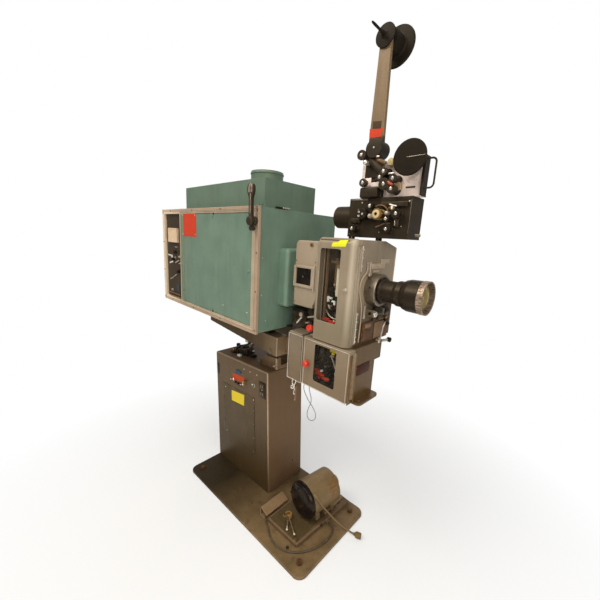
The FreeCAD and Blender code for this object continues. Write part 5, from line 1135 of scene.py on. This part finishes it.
class PROJECTOR_OT_lamphouse_trim(Operator):
    """Adds the screws of the lamphouse's frame and end, the plenum's latch and a stud"""
    bl_idname = "projector.lamphouse_trim"
    bl_label = "Lamphouse trim"

    def execute(self, context):
        kit = Kit("lamphouse_trim", "tilting_head")
        rim = [(-657, z) for z in (1036, 1194, 1350, 1508)] + [(199, z) for z in (1036, 1197, 1350, 1508)]
        rim += [(x, z) for x in (-560, -318, -60) for z in (1030, 1518)]
        kit.add("rusty_steel", copies(screw(3.0), [(x, -256, z) for x, z in rim]))
        kit.add("black_plastic", slab((200, -168, 1525), (202.4, -120, 1532), 0.8))
        kit.add("chrome", slab((201, -132, 1527), (206, -94, 1532), 1.6, 3))
        kit.add("teal_paint",
                turned([(6.6, -1), (7.4, 3), (7.0, 8), (4.8, 11), (1.6, 12)], (207, -246, 1530), "z", 20))
        side = screw(2.6, "x", 12)
        kit.add("bolt_steel", copies(side, [(200, -226, z) for z in (1180, 1330)] + [(200, -200, 1070)]))
        kit.close()
        return {"FINISHED"}


class PROJECTOR_OT_door_trim(Operator):
    """Adds the screws, the red tag with its studs, and the chips of the lamphouse door"""
    bl_idname = "projector.door_trim"
    bl_label = "Lamphouse door trim"

    def execute(self, context):
        kit = Kit("door_trim", "lamp_door")
        face = -251
        kit.add("black_metal",
                copies(screw(4.4), [(-124, face, 1500), (-426, face, 1104), (-131, face, 1049)]))
        kit.add("red_vinyl", label(face - 0.2, [(-434, 1391), (-285, 1391), (-285, 1504), (-434, 1504)], 0.8))
        kit.add("bolt_steel", copies(turned([(2.6, 0), (2.6, 1.4), (1.6, 2.2)], (0, 0, 0), "-y", 12),
                                     [(-424, face - 1, 1494), (-295, face - 1, 1494), (-424, face - 1, 1401),
                                      (-295, face - 1, 1401)]))
        chips = [(-52, 1094, 16, 3), (133, 1096, 11, 4)]
        for x, z, wide, tall in chips:
            kit.add("ivory", label(face - 0.1,
                                   [(x, z), (x + wide, z + 1), (x + wide, z + tall), (x, z + tall - 1)], 0.2))
        kit.close()
        return {"FINISHED"}


class PROJECTOR_OT_switch_panel(Operator):
    """Adds the toggles, knobs, push buttons, blank tape, wire loop and tray of the switch panel"""
    bl_idname = "projector.switch_panel"
    bl_label = "Switch panel"

    def execute(self, context):
        kit = Kit("switch_panel", "tilting_head")
        face = -243
        for x, z, lean in ((-583, 1271, 30), (-580, 1243, -20)):
            kit.add("white_tag", *toggle((x, face, z), lean, 18))
        for x, z, radius in ((-541, 1269, 6), (-490, 1276, 7), (-485, 1241, 5), (-588, 1082, 7)):
            kit.add("bolt_steel", turned([(radius, 0), (radius, 2), (radius * 0.6, 3), (radius * 0.6, 8),
                                          (2, 9)], (x, face, z)))
        kit.add("bolt_steel", rod([(-533, -247, 1241), (-512, -252, 1248), (-486, -250, 1258)], 3.2),
                slab((-546, face - 1.5, 1325), (-516, face, 1329), 0.5, 2))
        knob = [(10, 0), (10, 5), (8.6, 6), (9, 14), (8, 16), (3, 16.6)]
        kit.add("black_plastic",
                copies(turned(knob, (0, 0, 0)), [(-561, face, 1258), (-535, face, 1299), (-500, face, 1196)]))
        kit.add("blue_tape", label(face - 0.2, [(-530, 1084), (-504, 1086), (-506, 1124), (-528, 1120)], 1.5))
        kit.add("bolt_steel",
                rod([(-592, face, 1152), (-588, -256, 1148), (-572, -262, 1144), (-554, -262, 1150),
                     (-541, -256, 1164), (-537, face, 1174)], 1.3))
        kit.add("oily_brown", slab((-617, -252, 1047), (-475, face, 1051), 1.2),
                slab((-617, -254, 1064), (-482, -250, 1068), 1.2))
        kit.close()
        return {"FINISHED"}


# Head


class PROJECTOR_OT_shutter_trim(Operator):
    """Adds the shutter housing's window, screws, strip and links, and the drive case behind the soundhead"""
    bl_idname = "projector.shutter_trim"
    bl_label = "Shutter housing trim"

    def execute(self, context):
        kit = Kit("shutter_trim", "tilting_head")
        face = -137
        kit.add("dark_glass", slab((306, -139, 1238), (390, -137.4, 1306), 0.5))
        kit.add("bolt_steel", bead((303, 1236), (393, 1307), 3, -145, 1.4, 0.5))
        kit.add("bronze", slotted(7.0, (378, face, 1393)))
        kit.add("bronze", copies(screw(2.6), [(x, face, z) for x in (303, 402) for z in (1166, 1330)]))
        kit.add("bolt_steel", slab((398, -144, 1222), (403, face, 1318), 1.2))
        kit.add("dark_cell", slab((246, -92, 1050), (330, -80, 1112), 6, 3),
                turned([(17, 0), (18, 3), (18, 14), (13, 17), (5, 18)], (308, -84, 1104)))
        kit.add("chrome", rod([(288, -100, 1067), (300, -104, 1078), (316, -104, 1096)], 4.6, False))
        kit.add("black_metal", slab((120, -78, 982), (238, 60, 1029), 4, 3))
        kit.add("bolt_steel", rod([(346, -98, 1103), (362, -100, 1108), (380, -98, 1113)], 4.0, False),
                turned([(9, 0), (9, 2), (6, 3), (6, 1.5)], (308, -101, 1106)),
                rod([(330, -92, 1074), (350, -94, 1080)], 3.4))
        kit.add("dark_cell", slab((334, -92, 1112), (392, -80, 1140), 4, 3),
                slab((330, -88, 1060), (360, -80, 1086), 4, 3))
        kit.close()
        return {"FINISHED"}


class PROJECTOR_OT_head_interior(Operator):
    """Adds the gate strip, film rollers, guide arms and red levers seen through the head's door"""
    bl_idname = "projector.head_interior"
    bl_label = "Head interior"

    def execute(self, context):
        kit = Kit("head_interior", "tilting_head")
        kit.add("ivory", slab((482, -110, 1214), (500, -96, 1330), 1.4, 2))
        kit.add("brass", turned([(9, 0), (9, 3), (6, 5), (6, 12), (8, 14), (8, 16)], (490, -96, 1324)))
        kit.rollers("black_plastic", (15, 60, (486, 0, 1110)), (12, 60, (536, 0, 1146)),
                    (11, 60, (452, 0, 1128)),
                    (12, 60, (538, 0, 1302)), (17, 70, (448, 0, 1262)), (19, 64, (470, 0, 1160)))
        kit.add("oily_brown",
                turned([(15, 0), (16, 3), (13, 8), (13, 30), (16, 36), (16, 50), (9, 54)], (462, 0, 1372)),
                slab((446, -78, 1240), (458, -60, 1350), 3, 3),
                slab((462, -86, 1218), (472, -72, 1306), 3, 3),
                slab((500, -76, 1330), (514, -66, 1388), 3, 3),
                slab((430, -82, 1330), (520, -72, 1342), 3, 3),
                slab((428, -108, 1120), (434, -96, 1404), 2, 3))
        kit.add("dark_brown", slab((428, -70, 1150), (548, -52, 1178), 6, 3),
                slab((428, -60, 1060), (550, -30, 1086), 6, 3))
        kit.add("white_tag", slab((446, -104, 1198), (462, -94, 1205), 1.5, 2),
                slab((440, -104, 1186), (450, -96, 1208), 1.5, 2),
                slab((462, -104, 1188), (478, -96, 1194), 1.5, 2),
                slab((472, -104, 1178), (480, -98, 1192), 1.5, 2))
        kit.add("bolt_steel",
                rod([(430, -90, 1150), (448, -98, 1136), (470, -96, 1122), (500, -94, 1128)], 2.6),
                rod([(474, -96, 1118), (492, -98, 1108), (520, -96, 1104)], 3.0),
                rod([(440, -92, 1172), (452, -96, 1160)], 3.0))
        kit.add("red_plastic", slab((424, -106, 1110), (456, -92, 1122), 3, 3),
                slab((452, -106, 1104), (486, -92, 1116), 3, 3),
                slab((484, -106, 1096), (520, -92, 1108), 3, 3),
                slab((514, -106, 1090), (548, -92, 1102), 3, 3))
        kit.add("bolt_steel",
                copies(slotted(4.5, (0, 0, 0)), [(452, -78, 1250), (467, -86, 1228), (507, -76, 1380),
                                                 (436, -70, 1164)]))
        kit.close()
        return {"FINISHED"}


class PROJECTOR_OT_head_door_trim(Operator):
    """Adds the yellow label, which follows the door's rounded top, and its catch"""
    bl_idname = "projector.head_door_trim"
    bl_label = "Head door trim"

    def execute(self, context):
        kit = Kit("head_door_trim", "head_door")
        rows = [(1393, -145.2, 0), (1401, -145.15, 1), (1407, -144.1, 2), (1412, -141.6, 3),
                (1415, -139.4, 4)]
        for (low, near, step), (high, back, after) in zip(rows, rows[1:]):
            kit.add("lime_vinyl", film([(476 + step * 1.5, near, low), (536 + step * 1.5, near, low + 3),
                                        (536 + after * 1.5, back, high + 3), (476 + after * 1.5, back, high)],
                                       0.3))
        kit.add("bolt_steel",
                turned([(5.4, 0), (5.4, 1.6), (3.2, 2.4), (3.2, 5), (4.6, 6), (4.6, 9), (2, 9.8)],
                       (551, -145, 1252), "-y", 22))
        kit.add("chrome", slab((545, -151, 1250), (562, -147, 1254), 1.4, 2))
        kit.close()
        return {"FINISHED"}


class PROJECTOR_OT_head_front_trim(Operator):
    """Adds the raised plates, edge strip, hinge knuckles, knobs, links and brackets on the head's front"""
    bl_idname = "projector.head_front_trim"
    bl_label = "Head front trim"

    def execute(self, context):
        kit = Kit("head_front", "tilting_head")
        front = 576.8
        # raised plates and edge strip in a lighter copy of the head paint, as painted highlight
        kit.add("emboss_paint", slab((front, -36, 1322), (579.6, 55, 1341), 1.1),
                slab((front, 24, 1340), (580.4, 84, 1357), 1.1),
                slab((front, -22, 1309), (579.6, 18, 1317), 1.1))
        strip = [(580, -69, 1346), (580, -64, 1325), (580, -71, 1309), (580, -92, 1295), (580, -103, 1276),
                 (580, -104, 1254),
                 (580, -99, 1231), (580, -86, 1207), (580, -80, 1180), (580, -77, 1146), (580, -78, 1102),
                 (580, -80, 1058)]
        kit.add("emboss_paint", rod(strip, 2.2))
        knuckle = turned([(2.0, -14), (3.0, -13.6), (3.0, 13.6), (2.0, 14)], (0, 0, 0), "z", 14)
        kit.add("chrome",
                copies(knuckle, [(582, -110, z) for z in (1388, 1359, 1330, 1160, 1131, 1102, 1073)]))
        kit.add("dark_brown", slab((front, -107, 1310), (578.6, -104, 1400), 0.8),
                slab((front, -107, 1056), (578.6, -104, 1176), 0.8))
        rivet = turned([(2.6, 0), (2.6, 0.8), (1.6, 1.8)], (0, 0, 0), "x", 12)
        kit.add("bolt_steel",
                copies(rivet, [(580, -100, z) for z in (1390, 1362, 1334, 1166, 1138, 1110, 1082, 1064)]))
        kit.add("bolt_steel", slab((front, -57, 1296), (586, -52, 1348), 1.5, 3),
                slab((580, -64, 1300), (590, -50, 1308), 2, 3),
                slab((front, -62, 1143), (582, -54, 1191), 1.5, 3))
        grips = [(7, 0), (11, 2)]
        for step in range(6):
            grips += [(11, 4 + step * 5.6), (9.2, 4.8 + step * 5.6), (9.2, 7.4 + step * 5.6),
                      (11, 8.2 + step * 5.6)]
        kit.add("chrome", turned(grips + [(9, 39), (4, 39.6)], (577, -36, 1163), "x", 28))
        kit.add("dark_brown", slab((front, 2, 1122), (588, 112, 1180), 6, 3),
                slab((588, 16, 1130), (600, 84, 1168), 5, 3))
        kit.add("rust_brown", slab((front, -64, 1054), (581, 2, 1127), 1.4),
                slab((581, -58, 1062), (583, -6, 1096), 1.2),
                slab((front, 100, 1052), (579, 146, 1190), 2, 3))
        kit.add("oily_brown", slab((581, -50, 1106), (586, -12, 1122), 2, 3),
                slab((front, 24, 1050), (581, 96, 1116), 2, 3))
        kit.add("black_plastic",
                turned([(8, 0), (9, 3), (9, 10), (7, 13), (3, 14)], (590, 78, 1124), "x", 22),
                turned([(7, 0), (8, 3), (8, 8), (6, 11), (2.6, 12)], (592, 95, 1105), "x", 22))
        kit.add("brass", turned([(5, 0), (6, 2), (6, 6), (3, 7)], (601, 60, 1138), "x", 20))
        kit.add("bolt_steel", rod([(592, 92, 1120), (592, 74, 1104), (591, 67, 1070), (590, 62, 1040)], 3.4),
                rod([(586, 40, 1038), (587, 88, 1032), (588, 134, 1026)], 5.6, False),
                turned([(8, 0), (8.4, 3), (8.4, 12), (6, 14)], (584, 46, 1040), "x", 20))
        kit.add("black_plastic", turned([(9, 0), (10, 3), (10, 14), (6, 16)], (584, 136, 1027), "x", 20))
        kit.close()
        return {"FINISHED"}


class PROJECTOR_OT_lens_trim(Operator):
    """Adds the clamp ring's screws and step, and a pale line on the lens painted as a highlight on a ring's
    edge
    """
    bl_idname = "projector.lens_trim"
    bl_label = "Lens trim"

    def execute(self, context):
        kit = Kit("lens_trim", "tilting_head")
        kit.add("drum_grey", slab((610, -66, 1214), (619.6, -58, 1226), 1.2, 2))
        kit.add("dark_brown", slotted(4, (600, -70.6, 1262)),
                turned([(4, 0), (4, 5), (2.4, 6)], (606, -40, 1200), "-z", 14))
        kit.close()
        # a painted highlight: a pale line along a ring's edge
        kit = Kit("lens_highlight", "lens")
        kit.add("bolt_steel", rod([(758, -62, 1273), (757, -54, 1286), (756, -42, 1296)], 0.9))
        kit.close()
        return {"FINISHED"}


# Soundhead and readers


class PROJECTOR_OT_soundhead_trim(Operator):
    """Adds the soundhead's rollers, levers, tags, plain plate, long riveted hinge, and pale rods along edges,
    part wear and part painted highlight
    """
    bl_idname = "projector.soundhead_trim"
    bl_label = "Soundhead trim"

    def execute(self, context):
        kit = Kit("soundhead_trim", "tilting_head")
        kit.rollers("black_plastic", (13, 60, (520, 0, 988)), (12, 56, (452, 0, 1000)),
                    (15, 60, (530, 0, 890)),
                    (11, 56, (420, 0, 900)))
        kit.add("yellow_vinyl", slab((466, -92, 990), (498, -86, 999), 1),
                slab((474, -92, 980), (488, -86, 988), 1))
        kit.add("bolt_steel", rod([(470, -90, 974), (482, -92, 962), (490, -92, 948), (496, -92, 930)], 2.2),
                rod([(464, -86, 968), (476, -90, 976), (486, -90, 972)], 2.6))
        kit.add("red_plastic", slab((401, -104, 892), (428, -92, 902), 3, 3),
                slab((410, -106, 880), (452, -94, 890), 3, 3),
                slab((440, -104, 868), (476, -92, 879), 3, 3), slab((424, -104, 864), (434, -94, 896), 3, 3))
        kit.add("white_tag", turned([(5, 0), (5, 6), (3.6, 8)], (440, -98, 902)),
                slab((496, -92, 900), (502, -88, 912), 1.2))
        kit.add("maroon_plate", slab((593.8, -101, 933), (596, -7, 973), 0.8))
        kit.add("bronze", copies(screw(2.2, "x"), [(596, y, z) for y in (-97, -11) for z in (938, 968)]))
        kit.add("soundhead_paint", slab((593.8, -140, 834), (596.4, -104, 1024), 1))
        rivet = turned([(3.0, -0.4), (3.0, 0.8), (1.8, 2.0)], (0, 0, 0), "x", 12)
        kit.add("bronze", copies(rivet, [(596.4, -124, 846 + 28 * i) for i in range(7)]))
        kit.add("bronze", rod([(597.5, -106, 830), (597.5, -106, 1026)], 2.4, False),
                rod([(596.5, -139, 836), (596.5, -139, 1022)], 1.5, False))
        # pale rods round the side box: part wear, part painted highlight
        kit.add("rubbed_edge", outline((290, 836), (368, 1033), -145.4, 1.6))
        kit.close()
        # pale rods round the door: part wear, part painted highlight
        kit = Kit("soundhead_door_edges", "soundhead_door")
        kit.add("rubbed_edge", outline((380, 840), (590, 1032), -145.4, 1.4))
        kit.close()
        return {"FINISHED"}


class PROJECTOR_OT_reader_trim(Operator):
    """Adds the rollers, screw plate, small links, seam and strips of the lower sound reader"""
    bl_idname = "projector.reader_trim"
    bl_label = "Lower reader trim"

    def execute(self, context):
        kit = Kit("reader_trim", "tilting_head")
        kit.rollers("black_plastic", (11, 30, (534, 8, 1541)), (12, 30, (602, 8, 1497)),
                    (16, 30, (637, 8, 1514)),
                    (15, 30, (466, 8, 1462)), (16, 30, (606, 8, 1463)))
        kit.add("black_plastic",
                turned([(17, 0), (20, 2), (20, 24), (18, 26), (6, 26.4)], (500, 8, 1514), "-y", 30))
        kit.add("chrome", copies(screw(4.4), [(490, -18, 1521), (505, -18, 1514), (490, -18, 1507)]))
        kit.add("bolt_steel",
                turned([(8, 0), (8, 20), (5.6, 22), (5.6, 26), (2, 27)], (533, 8, 1507), "-y", 18),
                turned([(8, 0), (8, 16), (5.6, 20), (1.6, 21)], (596, 8, 1517), "-y", 18))
        kit.add("white_tag", rod([(604, -6, 1546), (616, -10, 1541), (630, -8, 1540)], 2.6),
                slab((612, -12, 1528), (618, -6, 1540), 2, 3))
        kit.add("bronze", rod([(596, 0, 1548), (606, -6, 1543), (618, -6, 1541), (628, 0, 1538)], 3.2),
                slab((600, -8, 1530), (624, -2, 1538), 2, 3),
                turned([(5, 0), (5, 14), (3, 15)], (616, 6, 1528), "-y", 16))
        kit.add("dark_cell", slab((566, -2, 1538), (664, 8, 1556), 3, 3),
                slab((444, -2, 1482), (486, 8, 1500), 3, 3),
                slab((626, -1, 1470), (640, 8, 1500), 3, 3))
        kit.add("chrome", copies(screw(3.2), [(484, 8, 1556), (667, 8, 1556)]))
        kit.add("oily_brown",
                rod([(548, -4, 1540), (566, -10, 1546), (590, -10, 1540), (600, -6, 1526)], 2.2),
                rod([(556, -2, 1470), (576, -8, 1474), (594, -8, 1484), (612, -4, 1482)], 2.4),
                slab((470, 2, 1524), (492, 8, 1534), 1.5, 2))
        kit.add("bolt_steel", copies(screw(2.0), [(437, 8, 1442), (566, 8, 1452), (648, 8, 1474)]),
                rod([(627, -3, 1492), (629, -3, 1484), (628, -3, 1476)], 1.6))
        kit.add("drum_grey", slab((431, 6.4, 1564), (507, 9, 1571), 0.8),
                slab((700, 6.4, 1441), (719, 9, 1450), 0.8),
                slab((674, 6.8, 1450), (675.4, 8.4, 1560), 0.3))
        kit.close()
        kit = Kit("sprocket_face", "reader_sprocket")
        kit.add("dial_gold",
                turned([(5, 0), (13.4, 0), (14, 0.6), (14, 1.4), (11, 2.2), (5.4, 2.2), (5, 1.6)],
                       (571, -34.5, 1512), "-y", 36))
        kit.add("flat_black",
                turned([(5.4, 0), (5.4, 2.6), (4.4, 2.9), (2, 2.9)], (571, -34.5, 1512), "-y", 24))
        kit.close()
        return {"FINISHED"}


class PROJECTOR_OT_upper_reader_trim(Operator):
    """Adds the rollers, arms, hubs and cylinders of the upper sound reader, and a pale line on the flywheel
    painted as a reflection
    """
    bl_idname = "projector.upper_reader_trim"
    bl_label = "Upper reader trim"

    def execute(self, context):
        kit = Kit("upper_reader_trim", "tilting_head")
        kit.rollers("black_metal", (17, 45, (478, 25, 1716)), (14, 45, (573, 25, 1653)),
                    (12, 45, (560, 25, 1635)),
                    (19, 45, (578, 25, 1612)), (14, 45, (610, 25, 1628)), (16, 45, (608, 25, 1595)),
                    (14, 45, (494, 25, 1622)))
        kit.add("black_metal",
                rod([(492, 14, 1712), (520, 6, 1690), (548, 4, 1662), (572, 8, 1650)], 15, False),
                rod([(560, 10, 1636), (580, 8, 1612), (606, 10, 1600)], 10, False),
                rod([(500, 10, 1622), (536, 12, 1636)], 6, False),
                slab((480, -12, 1572), (552, 24, 1606), 5, 3))
        kit.add("chrome", turned([(7, 0), (8, 3), (8, 42), (6, 45), (3, 46)], (495, 25, 1690)),
                slab((594, -24, 1640), (616, -16, 1645), 2, 3),
                slab((540, -22, 1700), (552, -14, 1705), 2, 3))
        kit.add("oily_brown", rod([(523, 6, 1700), (544, 2, 1694), (564, 8, 1684)], 7, False))
        kit.add("copper_red", rod([(598, -24, 1616), (606, -26, 1608), (616, -24, 1606)], 4.5))
        kit.add("ivory_brass", turned([(12, 0), (13, 3), (13, 22), (11, 25), (4, 26)], (583, 28, 1686)))
        kit.add("tan_cylinder", turned([(15, 0), (16, 3), (16, 14), (14, 17), (6, 18)], (612, 25, 1606)))
        kit.add("pale_metal", slab((482, 1.6, 1612), (516, 4.2, 1640), 1.2, 2))
        kit.add("dark_cell", slab((640, 22.4, 1600), (672, 25.4, 1605), 0.6, 2),
                slab((700, 22.4, 1598), (705, 25.4, 1610), 0.6, 2))
        kit.close()
        # a painted reflection: a pale radial line on the flywheel
        kit = Kit("flywheel_reflection", "flywheel")
        kit.add("drum_grey", slab((656, -30.2, 1683), (716, -28.9, 1685.4), 0.5, 2))
        kit.close()
        return {"FINISHED"}


class PROJECTOR_OT_arm_trim(Operator):
    """Adds the plain dark plate, the red label and a screw on the reel arm"""
    bl_idname = "projector.arm_trim"
    bl_label = "Reel arm trim"

    def execute(self, context):
        kit = Kit("arm_trim", "tilting_head")
        kit.add("sepia_plate", label(10.6, [(496, 1804), (529, 1800), (529, 1824), (494, 1829)], 0.5))
        kit.add("red_vinyl", label(10.6, [(485, 1776), (534, 1774), (538, 1800), (484, 1806)], 0.3))
        kit.add("bolt_steel", turned([(3, 0), (3, 1), (1.6, 1.8)], (523, -13, 1735), "-y", 14))
        kit.close()
        return {"FINISHED"}


class PROJECTOR_OT_clips(Operator):
    """Adds the spring clips and hook that hang under the soundhead's side box"""
    bl_idname = "projector.clips"
    bl_label = "Hanging clips"

    def execute(self, context):
        kit = Kit("hanging_clips", "tilting_head")
        for x, y, low, side in ((298, -118, 772, 1), (310, -112, 748, -1)):
            kit.add("chrome", rod([(x, y, 829), (x - 3 * side, y, 806), (x + 6 * side, y - 4, 790),
                                   (x - 7 * side, y - 2, low + 14),
                                   (x, y - 5, low), (x + 8 * side, y - 3, low + 9),
                                   (x + 2 * side, y + 2, low + 24),
                                   (x + 12 * side, y - 2, low + 30)], 2.4))
        kit.add("black_plastic",
                rod([(304, -110, 829), (300, -108, 800), (308, -112, 776), (300, -110, 764)], 3.0))
        kit.add("oily_brown",
                rod([(316, -112, 790), (312, -114, 764), (318, -115, 742), (314, -115, 730)], 3.6))
        kit.add("brass", rod([(314, -115, 742), (317, -116, 732), (314, -116, 724)], 2.8))
        kit.close()
        return {"FINISHED"}


# Sidebar


class PROJECTOR_PT_sidebar(Panel):
    """Sizes, colours and studio, and a button for each group of pieces"""
    bl_idname = "PROJECTOR_PT_sidebar"
    bl_label = "Film projector"
    bl_space_type = "VIEW_3D"
    bl_region_type = "UI"
    bl_category = "Projector"

    def draw(self, context):
        scene = context.scene
        for group in (scene.projector_colours, scene.projector_sizes, scene.projector_studio):
            box = self.layout.box()
            for name in group.bl_rna.properties.keys():
                if name not in ("rna_type", "name"):
                    box.prop(group, name)
        for operator in OPERATORS:
            self.layout.operator(operator.bl_idname)


OPERATORS = (
    PROJECTOR_OT_stage, PROJECTOR_OT_leads, PROJECTOR_OT_solids, PROJECTOR_OT_pedestal_trim,
    PROJECTOR_OT_pedestal_top,
    PROJECTOR_OT_motor_trim, PROJECTOR_OT_lamphouse_trim, PROJECTOR_OT_door_trim, PROJECTOR_OT_switch_panel,
    PROJECTOR_OT_shutter_trim, PROJECTOR_OT_head_interior, PROJECTOR_OT_head_door_trim,
    PROJECTOR_OT_head_front_trim,
    PROJECTOR_OT_lens_trim, PROJECTOR_OT_soundhead_trim, PROJECTOR_OT_reader_trim,
    PROJECTOR_OT_upper_reader_trim,
    PROJECTOR_OT_arm_trim, PROJECTOR_OT_clips,
)
CLASSES = (ProjectorColours, ProjectorSizes, StudioSettings) + OPERATORS + (PROJECTOR_PT_sidebar,)


def register():
    for kind in CLASSES:
        bpy.utils.register_class(kind)
    bpy.types.Scene.projector_colours = PointerProperty(type=ProjectorColours)
    bpy.types.Scene.projector_sizes = PointerProperty(type=ProjectorSizes)
    bpy.types.Scene.projector_studio = PointerProperty(type=StudioSettings)


def unregister():
    del bpy.types.Scene.projector_studio, bpy.types.Scene.projector_sizes, bpy.types.Scene.projector_colours
    for kind in reversed(CLASSES):
        bpy.utils.unregister_class(kind)


def main():
    register()
    for operator in OPERATORS:
        group, name = operator.bl_idname.split(".")
        getattr(getattr(bpy.ops, group), name)()


if __name__ == "__main__":
    main()
